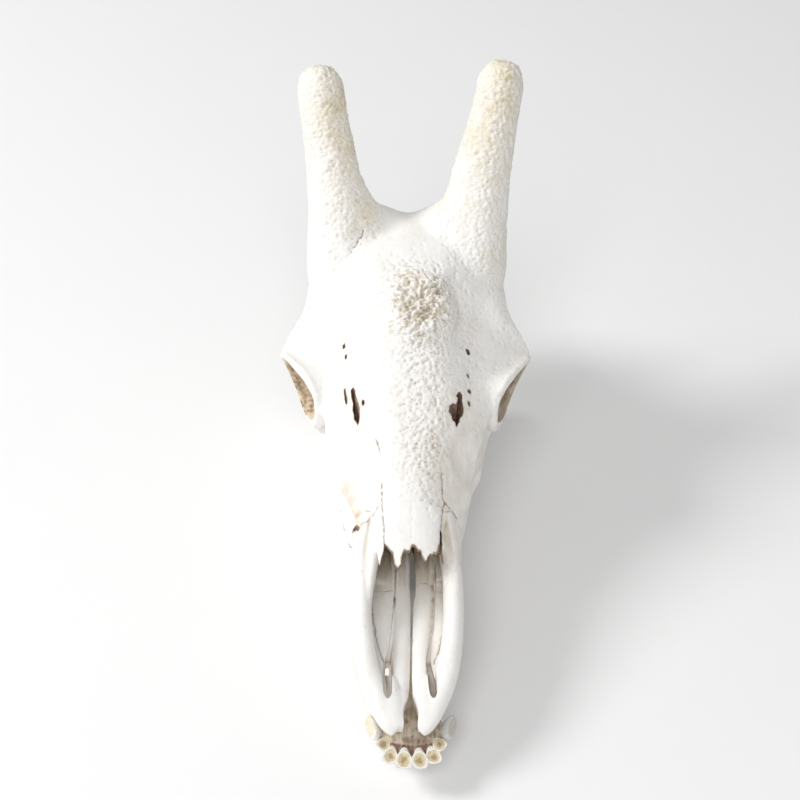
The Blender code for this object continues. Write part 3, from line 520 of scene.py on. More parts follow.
SIDE_SEAMS = (                   # sutures on the flanks, as (s, z)
    ((338, 52), (322, 60), (300, 64), (284, 58)),
    ((428, 60), (440, 58), (452, 68), (470, 72), (482, 80)),
    ((540, 190), (528, 172), (520, 152), (524, 132), (540, 116), (566, 108)),
    ((590, 160), (584, 140), (592, 122), (586, 108)))
FLOOR_CRACKS = (                 # along the foot of the nose bars, as (x, s)
    ((-36, 150), (-34, 132), (-30.5, 106), (-26, 88), (-21, 74)),
    ((40, 148), (38, 122), (33, 96), (27, 78)))
LOOSE_SEAMS = (                  # (x, s) along each seam, and half its width
    (((-27.7, 236), (-26.8, 217), (-26.6, 208), (-25.6, 196), (-24.6, 184), (-24.4, 171)), 0.95),
    (((-27.4, 217.5), (-31, 213.5), (-34.7, 209.6), (-40, 203.6), (-43, 202.6), (-48.6, 205)), 0.85),
    (((34.8, 250), (35.4, 236), (36.2, 229), (38.6, 224.6), (44, 223.4), (51.4, 221)), 1.0),
    (((38, 224.4), (35.9, 214), (34.4, 202), (33.4, 190), (32.6, 180)), 0.9),
    (((3.6, 214), (3.9, 203), (3.2, 192), (3.7, 175)), 0.3),
    (((-48.4, 507), (-50, 501.6), (-52.4, 498.6)), 0.9),
    (((-54, 496), (-57.4, 490.6), (-61.6, 485)), 0.9),
    (((-34.6, 281.5), (-31.8, 277), (-30.9, 272), (-28.9, 266.5)), 0.7),
    (((29.5, 390), (33.5, 384), (40, 377)), 0.4))


def numbers(items, field, width=3, kind=np.float32):
    """One field of a mesh's points, edges or faces, as rows."""
    flat = np.empty(len(items) * width, kind)
    items.foreach_get(field, flat)
    return flat.reshape(-1, width)


def points_of(piece):
    return numbers(piece.data.vertices, "co").astype(float) / MM


def normals_of(piece):
    return numbers(piece.data.vertex_normals, "vector").astype(float)


def put_points(piece, points):
    piece.data.vertices.foreach_set("co", (points * MM).ravel())
    piece.data.update()


def keep(piece, name, values):
    """Stores one number for each point, for the colours."""
    layer = piece.data.attributes.get(name) or piece.data.attributes.new(name, "FLOAT", "POINT")
    layer.data.foreach_set("value", np.clip(values, 0, 1).astype(np.float32))


def step(low, high, value):
    """0 below low, 1 above high, with a smooth rise between."""
    t = np.clip((value - low) / (high - low), 0.0, 1.0)
    return t * t * (3 - 2 * t)


def rough(points, size, seed):
    """Noise between about -1 and 1 at points in mm, with lumps of the given size."""
    return np.array([noise.noise(point) for point in (points / size + seed * 13.7).tolist()])


def finder(points):
    """Finds the nearest of the points to a place."""
    tree = KDTree(len(points))
    for i, point in enumerate(points):
        tree.insert(point, i)
    tree.balance()
    return tree


def along_line(points, line):
    """Distance of each point from a bent line of (x, s), seen from above."""
    best = np.full(len(points), 1e9)
    for (ax, ay), (bx, by) in zip(line, line[1:]):
        d = np.array((bx - ax, by - ay))
        rel = points[:, :2] - (ax, ay)
        t = np.clip(rel @ d / (d @ d), 0, 1)
        best = np.minimum(best, np.hypot(*(rel - t[:, None] * d).T))
    return best


def around(points, line, margin):
    """Which points lie in the box round a line or outline of (x, s), or that near it."""
    box = np.array(line)
    return np.all((points[:, :2] > box.min(0) - margin) & (points[:, :2] < box.max(0) + margin), 1)


def horn_axis(points):
    """How far up each horn a point lies (0 at the base, 1 at the tip) and how far from its axis."""
    side = np.where(points[:, 0] > 0, 1.0, -1.0)
    d = HORN_END - HORN_FOOT
    rel = points * np.stack([side, np.ones_like(side), np.ones_like(side)], 1) - HORN_FOOT
    t = rel @ d / (d @ d)
    return t, np.linalg.norm(rel - t[:, None] * d, axis=1)


def relax(points, pairs, weight, rounds):
    """Moves each point towards the middle of its neighbours, as far as its weight says."""
    a, b = pairs.T
    count = len(points)
    share = np.bincount(a, minlength=count) + np.bincount(b, minlength=count)
    share = np.maximum(share, 1)
    for _ in range(rounds):
        middle = np.stack([np.bincount(a, points[b, k], count) + np.bincount(b, points[a, k], count)
                           for k in range(3)], 1) / share[:, None]
        points = points + (middle - points) * weight[:, None]
    return points


def dust_and_shade(piece, others=(), rays=24, reach=70.0, every=9):
    """How enclosed each point is, 0 in the open to 1 deep inside, from rays cast off the surface."""
    points, normals = points_of(piece), normals_of(piece)
    work = bmesh.new()
    for mesh in [piece.data] + [other.data for other in others]:
        work.from_mesh(mesh)
    tree = BVHTree.FromBMesh(work)
    work.free()
    fan = []
    for i in range(rays):
        up = math.sqrt((i + 0.5) / rays)
        turn = GOLDEN_TURN * i
        flat = math.sqrt(1 - up * up)
        fan.append((math.cos(turn) * flat, math.sin(turn) * flat, up))
    chance = random.Random(3)
    chosen = np.arange(0, len(points), every)
    shut = np.zeros(len(chosen))
    for k, i in enumerate(chosen):
        n = Vector(normals[i])
        side = n.orthogonal().normalized()
        other = n.cross(side)
        spin = chance.random() * 6.28
        side, other = (side * math.cos(spin) + other * math.sin(spin),
                       other * math.cos(spin) - side * math.sin(spin))
        start = Vector(points[i] * MM) + n * RAY_START
        for u, v, w in fan:
            if tree.ray_cast(start, side * u + other * v + n * w, reach * MM)[0] is not None:
                shut[k] += 1
    shut /= rays
    lookup = finder(points[chosen] * MM)
    full = np.empty(len(points))
    for i, point in enumerate(points * MM):
        near = lookup.find_n(Vector(point), 3)
        weights = [1 / (d + 1e-4) for _, _, d in near]
        full[i] = sum(w * shut[k] for w, (_, k, _) in zip(weights, near)) / sum(weights)
    return full


def ease_creases(skull, up):
    """The forehead flows into the horn bases and round the boss without creases."""
    points = points_of(skull)
    pairs = numbers(skull.data.edges, "vertices", 2, np.int32)
    x, s, z = points.T
    crease = step(395, 430, s) * step(150, 165, z) * step(0.75, 0.35, up)
    crease = np.maximum(crease, step(360, 380, s) * step(165, 176, z)
                        * step(60, 48, abs(x - ROUGH_BOSS[0])))
    face = step(225, 260, s) * step(395, 350, s) * step(70, 90, z) * step(88, 75, abs(x))
    slit = step(72, 66, abs(x)) * step(40, 46, abs(x)) * step(290, 297, s) * step(350, 343, s)
    brow = step(76, 88, abs(x)) * step(336, 350, s) * step(415, 400, s) * step(104, 112, z)
    for weight, rounds in ((crease * 0.8, 60), (face * (1 - slit) * 0.6, 25), (brow * 0.7, 16)):
        points = relax(points, pairs, weight, rounds)
    put_points(skull, points)
    return points


class Surface:
    """The skull's skin while it is worked: its points in mm, how far each is to be lifted, and the
    marks that the colours need, from 0 to 1."""

    def __init__(self, skull):
        self.up, off_axis = horn_axis(points_of(skull))
        self.points = ease_creases(skull, self.up)
        self.normals = normals_of(skull)
        self.open_top = step(0.0, 0.35, self.normals[:, 2])
        self.on_horn = step(54, 44, off_axis) * step(-0.12, 0.1, self.up)
        self.lift, self.pit, self.seam, self.stain, self.nose = np.zeros((5, len(self.points)))

    def model_forms(self):
        """A smooth U between the horns, a valley beside the boss, a dent and a waist in the face."""
        x, s, z = self.points.T
        side = self.normals[:, 0]
        dip = 3.0 * np.exp(-((x + 20) / 14) ** 2) - 6.5 * np.exp(-((x - 39) / 13) ** 2)
        dip *= step(490, 525, s) * step(580, 555, s) * step(120, 130, z)
        valley = 5.0 * np.exp(-((x - 50) / 11) ** 2 - ((s - 432) / 34) ** 2)
        z -= dip + valley * self.open_top
        fuller = 5.5 * np.exp(-((z - 228) / 42) ** 2) + 4.0 * np.exp(-((z - 190) / 20) ** 2)
        x -= fuller * step(-0.1, -0.6, side) * step(36, 52, x) * step(170, 185, z)
        dent = 4.5 * np.exp(-((x + 59) / 6) ** 2 - ((s - 268) / 17) ** 2) * step(35, 50, z)
        z -= dent * self.open_top
        waist = 5.0 * np.exp(-((s - 274) / 15) ** 2) * step(0.1, 0.6, side) * step(40, 55, x)
        x -= waist * step(14, 30, z) * step(118, 96, z)

    def grain_the_bone(self):
        """Gentle unevenness all over, a fine worn grain on the face, and a rougher nape."""
        points, (x, s, z) = self.points, self.points.T
        lift = 0.55 * rough(points, 26, 1) + 0.22 * rough(points, 9, 2)
        face = step(30, 230, s) * (0.35 + 0.65 * step(-0.3, 0.4, rough(points, 24, 16)))
        face *= 0.65 + 0.35 * self.open_top * step(-50, 10, x)
        lift += face * (0.30 * rough(points, 4.4, 17) + 0.26 * rough(points, 2.8, 18))
        self.nape = step(0, 0.4, self.normals[:, 1]) * step(580, 606, s)
        self.nape = self.nape * (0.45 + 0.55 * step(84, 96, z))
        lift += self.nape * (0.9 * rough(points, 8, 19) + 0.5 * rough(points, 4, 20))
        self.lift = lift + 0.9 * step(520, 560, s) * step(112, 96, z) * rough(points, 12, 33)

    def grain_the_horns(self):
        """Coarse grain on the horn cores, which fades towards the base."""
        where = np.nonzero(self.on_horn > 0.01)[0]
        some = self.points[where]
        ridged = rough(some, 3.6, 3) + 0.8 * rough(some, 2.3, 4)
        patchy = step(-0.3, 0.5, rough(some, 22, 5))
        strength = 0.50 + 0.45 * patchy + 0.45 * step(0.35, 0.8, self.up[where])
        self.lift[where] += self.on_horn[where] * (strength * ridged + 0.5 * rough(some, 12, 6))

    def knot_the_boss(self):
        """Worm-like ridges on the boss, which thin out down the nose."""
        points, (x, s, _) = self.points, self.points.T
        self.from_boss = np.hypot((x - ROUGH_BOSS[0]) / 37, (s - ROUGH_BOSS[1]) / 40)
        ragged = self.from_boss + 0.22 * rough(points * (1, 1, 0.2), 14, 7)
        self.knob = step(1.6, 0.4, ragged) * self.open_top
        trail = step(28, 8, abs(x - 13)) * step(240, 320, s) * step(420, 390, s) * self.open_top
        worn = np.maximum(self.knob, trail * 0.42)
        where = np.nonzero(worn > 0.02)[0]
        some = points[where]
        worms = 1 - 2.4 * abs(rough(some, 6.4, 8)) + 0.5 * rough(some, 3.0, 9)
        self.lift[where] += worn[where] * (1.3 * worms - 0.6 + 1.0 * rough(some, 12, 10))
        self.pit[where] = (self.knob[where] * 0.36 + trail[where] * 0.2) * step(-0.3, -1.3, worms)

    def dig_pits(self):
        """Vessel pits: many on the boss, fewer down the nose and over the brow, few elsewhere."""
        x, s, _ = self.points.T
        knob = self.knob
        chance = np.random.default_rng(5)
        wide = step(2.4, 0.7, self.from_boss)
        chest = step(36, 12, abs(x - 14)) * step(205, 250, s) * step(440, 400, s)
        brow = step(30, 60, x) * step(300, 340, s) * step(520, 480, s)
        sides = 0.03 * step(0.2, -0.2, self.normals[:, 2]) * step(200, 230, s)
        odds = (knob * 0.9 + wide * 0.2 + chest * 0.75 + brow * 0.14 + self.on_horn * 0.34
                + 0.014) * self.open_top
        odds = odds + sides
        lookup = finder(self.points)
        for i in chance.choice(len(odds), PITS, replace=False, p=odds / odds.sum()):
            size = 1.3 + 1.5 * chance.random() ** 2 + 1.0 * knob[i] * chance.random()
            deep = size * (0.42 + 0.34 * knob[i])
            dark = 0.5 + 0.5 * knob[i] + 0.5 * chest[i] * chance.random() ** 3
            for _, k, far in lookup.find_range(Vector(self.points[i]), size * 1.5):
                dent = math.exp(-(far / size / 0.7) ** 2)
                self.lift[k] -= deep * dent
                self.pit[k] = max(self.pit[k], dent * dark)

    def cut_seam(self, where, far, half, depth, broken=1.0, share=1.0, shade=1.0):
        """Sinks a crack into those points, by how far each is from its line."""
        cut = np.exp(-(far / half) ** 2) * broken * share
        self.lift[where] -= depth * cut
        self.seam[where] = np.maximum(self.seam[where], shade * cut)

    def open_seams(self):
        """Seams between the bones and cracks on the face, broken here and there."""
        points, normals, (x, s, z) = self.points, self.normals, self.points.T
        sway = rough(points * (1, 1, 0), 5, 11) * 1.1
        self.swayed = points[:, :2] + np.stack([sway, -0.6 * sway], 1)
        for line, half in LOOSE_SEAMS:
            near = np.nonzero(around(points, line, 5) & (normals[:, 2] > 0.15) & (z > 60))[0]
            broken = 0.55 + 0.45 * step(-0.5, 0.2, rough(points[near], 3.2, 26))
            far = along_line(self.swayed[near], line)
            self.cut_seam(near, far, half + 0.35, 1.1, broken, min(1.0, 0.35 + half))
        flank = np.nonzero((abs(normals[:, 0]) > 0.35) & (abs(x) > 26) & (self.on_horn < 0.2))[0]
        broken = 0.5 + 0.5 * step(-0.5, 0.2, rough(points[flank], 3.2, 29))
        for line in SIDE_SEAMS:
            far = along_line(points[flank, 1:] + self.swayed[flank] - points[flank, :2], line)
            self.cut_seam(flank, far, 0.8, 0.8, broken, shade=0.75)

    def stain_the_bone(self):
        """Brown marks on the face, yellow grease on the horn cores and in the right eye socket, painted
        shade on the left flank, which faces away from the key lamp, and some earth on the nape."""
        points, normals, (x, s, z) = self.points, self.normals, self.points.T
        blur = 1 + 0.5 * rough(points, 3.5, 12)
        stain = np.zeros(len(points))
        for at_x, at_s, size, strength in SPOTS:
            far = np.hypot(x - at_x, s - at_s) * blur / size
            spot = strength * np.exp(-far ** 2) * (z > 60) * (normals[:, 2] > -0.2)
            stain = np.maximum(stain, spot)
        cloud = step(-0.35, 0.45, rough(points, 18, 13))
        fleck = step(-0.1, 0.5, rough(points, 3.4, 14))
        inner = step(-0.5, 0.5, np.where(x < 0, normals[:, 0], 0.6 - abs(normals[:, 0])))
        greasy = self.on_horn * step(0.2, 0.6, self.up) * (0.3 + 0.7 * inner)
        # Painted shade: the left flank, which faces away from the key lamp, is greyed.
        flank = step(0.15, 0.6, normals[:, 0]) * step(140, 170, s) * step(350, 320, s) * (z > 40)
        for marks in (greasy * (0.30 + 0.40 * cloud) * (0.5 + 0.5 * fleck),
                      0.05 * self.knob * step(-0.3, 0.5, rough(points, 16, 15)),
                      0.17 * flank * step(-0.5, 0.3, rough(points, 13, 31)),
                      0.22 * self.nape * step(-0.2, 0.4, rough(points, 12, 32))):
            stain = np.maximum(stain, marks)
        apart = np.stack([np.sign(x) * EYE[0], np.full(len(x), EYE[1]), np.full(len(x), EYE[2])], 1)
        apart -= points
        metric = np.sqrt((apart[:, 0] / 38) ** 2 + (apart[:, 1] / 33) ** 2 + (apart[:, 2] / 30) ** 2)
        apart /= np.linalg.norm(apart, axis=1)[:, None]
        self.socket = step(1.2, 1.08, metric) * step(0.15, 0.5, (apart * normals).sum(1))
        fading = 0.40 + 0.55 * step(345, 388, s)
        fading *= 0.8 + 0.4 * step(-0.2, 0.5, rough(points, 9, 27))
        self.stain = np.where(x < 0, np.maximum(stain, self.socket * fading), stain)

    def darken_the_nose(self):
        """Painted shade and brown stain inside the nose, deepening backwards under the nasal bones, and
        painted shade in its gaps.
        """
        normals, (x, s, z) = self.normals, self.points.T
        top = np.interp(s, (110, 160, 200, 250, 295, 330), (62, 75, 85, 99, 107, 105))
        room = np.interp(s, (120, 160, 200, 250, 295, 330), (44, 48, 49, 48, 35, 15))
        inside = step(1, -2, abs(x) - room) * step(2, 0, z - top) * step(335, 325, s)
        inside *= step(0.5, 0.2, normals[:, 0] * np.sign(x)) * step(-8, -4, z)
        # Painted shade with brown stain, darker backwards under the nasal bones.
        nose = inside * (0.07 * step(115, 150, s) + 0.40 * step(150, 204, s)
                         + 0.53 * step(204, 235, s))
        # Painted shade in the left eye socket, which faces away from the key lamp.
        nose = np.maximum(nose, np.where(x > 0, self.socket * 0.55, 0))
        upright = abs(normals[:, 2])
        # Painted shade on the walls of the midline gap and of the slots.
        gap = step(7.5, 5.5, abs(x - 3)) * step(0.5, 0.1, upright) * step(200, 180, s) * (z < 20)
        nose = np.maximum(nose, 0.6 * gap)
        for way, middle in ((1, 24.5), (-1, 20)):
            slot = step(6.5, 5, abs(way * x - middle)) * step(26, 30, s)
            slot = slot * step(100, 84, s) * step(18, 12, z)
            nose = np.maximum(nose, slot * step(0.8, 0.5, upright) * 0.5)
        near = np.nonzero((z < 40) & (z > 4) & (s > 60) & (s < 215) & (normals[:, 2] > 0.3))[0]
        for line in FLOOR_CRACKS:
            self.cut_seam(near, along_line(self.swayed[near], line), 1.1, 0.9)
        self.nose = nose

    def paint_shade_on_cut_edges(self, enclosed):
        """The walls of the slits, their floors where enclosed, and the cut edge of the nasal bones take
        painted shade.
        """
        points, (_, s, z) = self.points, self.points.T
        for outline, low, high in FACE_SLITS + ((NASAL_EDGE, *EDGE_LEVELS),):
            near = around(points, outline, 2) & (z > low - 1.5) & (z < high + 5) & (s > 142)
            near = np.nonzero(near)[0]
            far = along_line(points[near], outline + outline[:1])
            shown = step(1.0, 0.35, far)
            if outline is NASAL_EDGE:
                shown = 0.8 * shown
            else:
                shown = np.maximum(shown, (z[near] < low + 3) & (far < 5) & (enclosed[near] > 0.3))
            self.nose[near] = np.maximum(self.nose[near], shown)


def work_the_surface(skull):
    """Works the skull's skin, and returns the marks on it by name, one number for each point."""
    worked = Surface(skull)
    worked.model_forms()
    worked.grain_the_bone()
    worked.grain_the_horns()
    worked.knot_the_boss()
    worked.dig_pits()
    worked.open_seams()
    worked.stain_the_bone()
    worked.darken_the_nose()
    put_points(skull, worked.points + worked.normals * worked.lift[:, None])
    # How enclosed each point is: the colours paint shade and dust by it, and it finds the floors of the
    # slits.
    enclosed = dust_and_shade(skull)
    worked.paint_shade_on_cut_edges(enclosed)
    return {"stain": worked.stain, "nose": worked.nose, "pit": worked.pit, "seam": worked.seam,
            "horn": worked.on_horn, "dust_and_shade": enclosed}


marks = work_the_surface(skull)


# The bones of the upper skull.
# The mass is parted along the seams of the real skull into brain case, snout, the two premaxillae,
# the paired horn cores and the boss. Each takes the place of the plain solid of its own name.

HORN_COLLAR = 46.0
NOSE_SIDE = ((-60, -60), (150, -60), (158, 0), (184, 30), (208, 52), (216, 62), (190, 61), (-60, 58))
SNOUT_SIDE = ((-60, -60), (420, -60), (406, 0), (374, 64), (344, 130), (330, 230), (-60, 230))
GAP_X = 3.7                      # where the midline gap runs at its first station
GAP_STATION = 60
GAP_SLOPE = 0.025                # how fast it drifts to the animal's left behind that station
NOSE_DOWN = math.radians(6.7)    # slope of the palate when the jaw rests on a table
PALATE_LIFT = 50.0
TABLE_PLACE = (-0.1, -309.0, -0.5)    # brings the skull's middle over the frame's origin
ONTO_THE_JAW = Matrix.Translation(place(0, 0, PALATE_LIFT)) @ Matrix.Rotation(NOSE_DOWN, 4, "X")
ONTO_THE_TABLE = Matrix.Translation(place(*TABLE_PLACE))


def part_along(piece, region):
    """Cuts the piece along the skin of a region: returns what lies inside and what lies outside."""
    cut = []
    for operation in ("INTERSECT", "DIFFERENCE"):
        half = add_object(piece.name, piece.data.copy())
        change(half, "BOOLEAN", operation=operation, solver="MANIFOLD", object=region)
        settle(half)
        cut.append(half)
    bpy.data.objects.remove(piece)
    bpy.data.objects.remove(region)
    return cut


def taken_out(piece, name, chosen):
    """The chosen faces of a piece as a bone of its own."""
    work = bmesh.new()
    work.from_mesh(piece.data)
    work.faces.ensure_lookup_table()
    drop = [work.faces[i] for i in np.nonzero(~chosen)[0]]
    bmesh.ops.delete(work, geom=drop, context="FACES")
    return add_object(name, mesh_of(work, name))


def face_middles(piece):
    return numbers(piece.data.polygons, "center").astype(float) / MM


def shade_smooth(piece):
    faces = piece.data.polygons
    faces.foreach_set("use_smooth", np.ones(len(faces), bool))


def stand_for(piece, node):
    """The piece rides on the model's only body, in place of that solid."""
    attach(piece, "root")
    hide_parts(node)


def part_the_skull(rest, marks):
    """Parts the skull into its seven bones. Each point takes the marks of the nearest old one."""
    shade_smooth(rest)
    lookup = finder(points_of(rest))
    bones = {}
    r = HORN_COLLAR
    for way, side in SIDES:
        collar = limb("collar", [(way * 72, 496, 150, r, r), (way * 84, 575, 234, r, r),
                                 (way * 104, 670, 348, r, r)])
        bones["ossicone_" + side], rest = part_along(rest, collar)
    round_boss = ball("round_boss", (*BOSS, 192), (47, 52, 26), turn=BOSS_TILT)
    bones["median_ossicone"], rest = part_along(rest, round_boss)
    front, bones["cranium"] = part_along(rest, side_prism("front", SNOUT_SIDE, -160, 160))
    nose, bones["snout"] = part_along(front, side_prism("nose", NOSE_SIDE, -100, 100))
    x, s, _ = face_middles(nose).T
    left = x > GAP_X + (s - GAP_STATION) * GAP_SLOPE
    for side, chosen in (("left", left), ("right", ~left)):
        bones["premaxilla_" + side] = taken_out(nose, "nose_" + side, chosen)
    bpy.data.objects.remove(nose)
    for name, bone in bones.items():
        bone.name = name + "_bone"
        nearest = [lookup.find(point)[1] for point in points_of(bone)]
        for mark, values in marks.items():
            keep(bone, mark, values[nearest])
        bone.data.transform(ONTO_THE_TABLE @ ONTO_THE_JAW)
        stand_for(bone, name)
    return bones


bones = part_the_skull(skull, marks)


class Net:
    """Shader nodes laid out left to right, so that a material reads as a few lines."""

    def __init__(self, tree):
        self.tree = tree
        self.count = 0

    def add(self, kind, inputs=None, **settings):
        node = self.tree.nodes.new(kind)
        self.count += 1
        node.location = (self.count % 12 * 180, -(self.count // 12) * 260)
        set_up(node, **settings)
        for key, value in (inputs or {}).items():
            if isinstance(value, bpy.types.NodeSocket):
                self.tree.links.new(value, node.inputs[key])
            else:
                node.inputs[key].default_value = value
        return node

    def where(self, scale=None):
        """The place on the piece, squeezed along its axes where a scale is given."""
        spot = self.add("ShaderNodeTexCoord").outputs["Object"]
        if scale is None:
            return spot
        return self.add("ShaderNodeMapping", {"Vector": spot, "Scale": scale}).outputs[0]

    def noise(self, where, size, detail=3.0, rough=0.55):
        """Noise with lumps of about that many millimetres, 0 to 1."""
        made = self.add("ShaderNodeTexNoise", {"Vector": where, "Scale": 1000 / size,
                                               "Detail": detail, "Roughness": rough})
        return made.outputs["Fac"]

    def between(self, value, low, high, to_low=0.0, to_high=1.0):
        made = self.add("ShaderNodeMapRange", {"Value": value, "From Min": low, "From Max": high,
                                               "To Min": to_low, "To Max": to_high})
        return made.outputs["Result"]

    def sum(self, one, two, operation="ADD"):
        return self.add("ShaderNodeMath", {0: one, 1: two}, operation=operation).outputs[0]

    def product(self, one, two):
        return self.sum(one, two, "MULTIPLY")

    def mix(self, share, one, two):
        return self.add("ShaderNodeMix", {0: share, 6: one, 7: two}, data_type="RGBA").outputs[2]

    def carried(self, name):
        return self.add("ShaderNodeAttribute", attribute_name=name).outputs["Fac"]

    def finish(self, colour, rough, height, strength, depth):
        """Links a finish to the material's shader. The bump's depth is in metres."""
        shader = self.tree.nodes["Principled BSDF"]
        bump = self.add("ShaderNodeBump", {"Height": height, "Strength": strength, "Distance": depth})
        for label, output in (("Base Color", colour), ("Roughness", rough),
                              ("Normal", bump.outputs["Normal"])):
            self.tree.links.new(output, shader.inputs[label])
        return shader


def new_material(name):
    made = bpy.data.materials.new(name)
    made.use_nodes = True
    return made, Net(made.node_tree)


WHITE_BONE = (0.90, 0.885, 0.86, 1)
DRY_TAN = (0.62, 0.48, 0.30, 1)
HORN_TAN = (0.66, 0.55, 0.33, 1)
# Brown of the stains, pits and seams, and of the painted shade deep in enclosed places.
STAIN_AND_SHADE_BROWN = (0.16, 0.09, 0.05, 1)
# Tan and brown of the painted shade and stain in the nose, slits and gaps, and round the jaw's front
# teeth.
RECESS_STAIN_SHADE_TAN = (0.45, 0.355, 0.225, 1)
RECESS_STAIN_SHADE_BROWN = (0.135, 0.056, 0.043, 1)


def bone_skin_group():
    """Dry bleached bone: chalky white with warm clouds, brown in pits and seams, painted shade and dust
    in hollows.
    """
    tree = bpy.data.node_groups.new("bone_skin", "ShaderNodeTree")
    for label in ("Warmth", "Pits", "Seams", "DustAndShade", "Stain", "Inside"):
        tree.interface.new_socket(label, in_out="INPUT", socket_type="NodeSocketFloat")
    for label in ("White", "Tan", "Brown"):
        tree.interface.new_socket(label, in_out="INPUT", socket_type="NodeSocketColor")
    for label, kind in (("Color", "Color"), ("Rough", "Float"), ("Height", "Float")):
        tree.interface.new_socket(label, in_out="OUTPUT", socket_type="NodeSocket" + kind)
    net = Net(tree)
    take, give = net.add("NodeGroupInput").outputs, net.add("NodeGroupOutput").inputs
    where = net.where()
    clouds = net.between(net.noise(where, 60, 4), 0.42, 0.72)
    specks = net.between(net.noise(where, 7, 3, 0.6), 0.5, 0.75)
    warm = net.sum(net.product(clouds, 0.6), net.product(specks, 0.4))
    colour = net.mix(net.product(warm, take["Warmth"]), take["White"], take["Tan"])
    # Painted shade with some dust where the bone is enclosed: tan, and brown deep inside.
    dust_and_shade_share = net.product(net.between(take["DustAndShade"], 0.58, 1.0),
                        net.between(net.noise(where, 14, 3), 0.3, 0.6, 0.6, 1.0))
    colour = net.mix(net.product(dust_and_shade_share, 0.75), colour, take["Tan"])
    colour = net.mix(net.between(take["DustAndShade"], 0.75, 1.0, 0.0, 0.75), colour, take["Brown"])
    marked = net.product(take["Stain"], net.between(net.noise(where, 4, 3), 0.3, 0.6, 0.5, 1.0))
    colour = net.mix(net.between(marked, 0.0, 0.6, 0.0, 0.85), colour, take["Tan"])
    colour = net.mix(net.between(marked, 0.55, 1.0, 0.0, 0.8), colour, take["Brown"])
    # Painted shade and brown stain inside the nose, the slits and gaps, and round the jaw's front
    # teeth.
    streaks = net.noise(net.where((1, 0.12, 0.5)), 4, 4, 0.6)
    inside = net.product(take["Inside"], net.between(streaks, 0.3, 0.65, 0.62, 1.2))
    colour = net.mix(net.between(inside, 0.0, 0.5, 0.0, 0.8), colour, RECESS_STAIN_SHADE_TAN)
    colour = net.mix(net.between(inside, 0.45, 1.0, 0.0, 0.9), colour, RECESS_STAIN_SHADE_BROWN)
    pitted = net.product(net.between(take["Pits"], 0.25, 0.9),
                         net.between(net.noise(where, 9, 2), 0.35, 0.6, 0.25, 1.0))
    colour = net.mix(net.product(pitted, 0.8), colour,
                     net.mix(net.noise(where, 12, 2), take["Tan"], take["Brown"]))
    colour = net.mix(net.between(take["Seams"], 0.35, 0.95, 0.0, 0.7), colour, take["Brown"])
    rough = net.between(net.noise(where, 5, 4), 0.3, 0.7, 0.55, 0.75)
    pores = net.add("ShaderNodeTexVoronoi", {"Vector": where, "Scale": 420.0}, feature="F1")
    height = net.sum(net.product(net.noise(where, 1.6, 4, 0.65), 0.6),
                     net.between(pores.outputs["Distance"], 0.0, 0.35, 0.0, 0.4))
    for label, output in (("Color", colour), ("Rough", rough), ("Height", height)):
        net.tree.links.new(output, give[label])
    return tree


BONE_SKIN = bone_skin_group()


def bone_material(name, tan, warmth, bump, horn_warmth=0.0):
    made, net = new_material(name)
    heat = net.sum(warmth, net.product(net.carried("horn"), horn_warmth))
    worn = net.add("ShaderNodeGroup", node_tree=BONE_SKIN)
    for label, value in (("White", WHITE_BONE), ("Tan", tan), ("Brown", STAIN_AND_SHADE_BROWN)):
        worn.inputs[label].default_value = value
    for label, value in (("Warmth", heat), ("Pits", net.carried("pit")),
                         ("Seams", net.carried("seam")), ("DustAndShade", net.carried("dust_and_shade")),
                         ("Stain", net.carried("stain")), ("Inside", net.carried("nose"))):
        net.tree.links.new(value, worn.inputs[label])
    shader = net.finish(worn.outputs["Color"], worn.outputs["Rough"], worn.outputs["Height"],
                        bump, 0.0006)
    shader.inputs["Specular IOR Level"].default_value = 0.35
    return made


def dress(piece, material):
    """Gives all of a piece one material; the cuts leave empty slots behind."""
    piece.data.materials.clear()
    faces = piece.data.polygons
    faces.foreach_set("material_index", np.zeros(len(faces), np.int32))
    piece.data.materials.append(material)


dry_bone = bone_material("dry_bone", DRY_TAN, 0.22, 0.6)
horn_bone = bone_material("horn_bone", HORN_TAN, 0.12, 1.0, 0.4)
for name, bone in bones.items():
    dress(bone, horn_bone if "ossicone" in name else dry_bone)


# Lower jaw.
# Two halves of bone that meet in the chin. The jaw rests on flats under the chin and under its
# rear corners, and lies a little askew under the skull, so its front shows to the animal's left.

REST_CUT = 0.5                   # level of the flats that it rests on
JOINT_STATION = 508.0            # where its knuckles sit in the skull
JAW_SWING = 4.0                  # how far off the middle its front lies


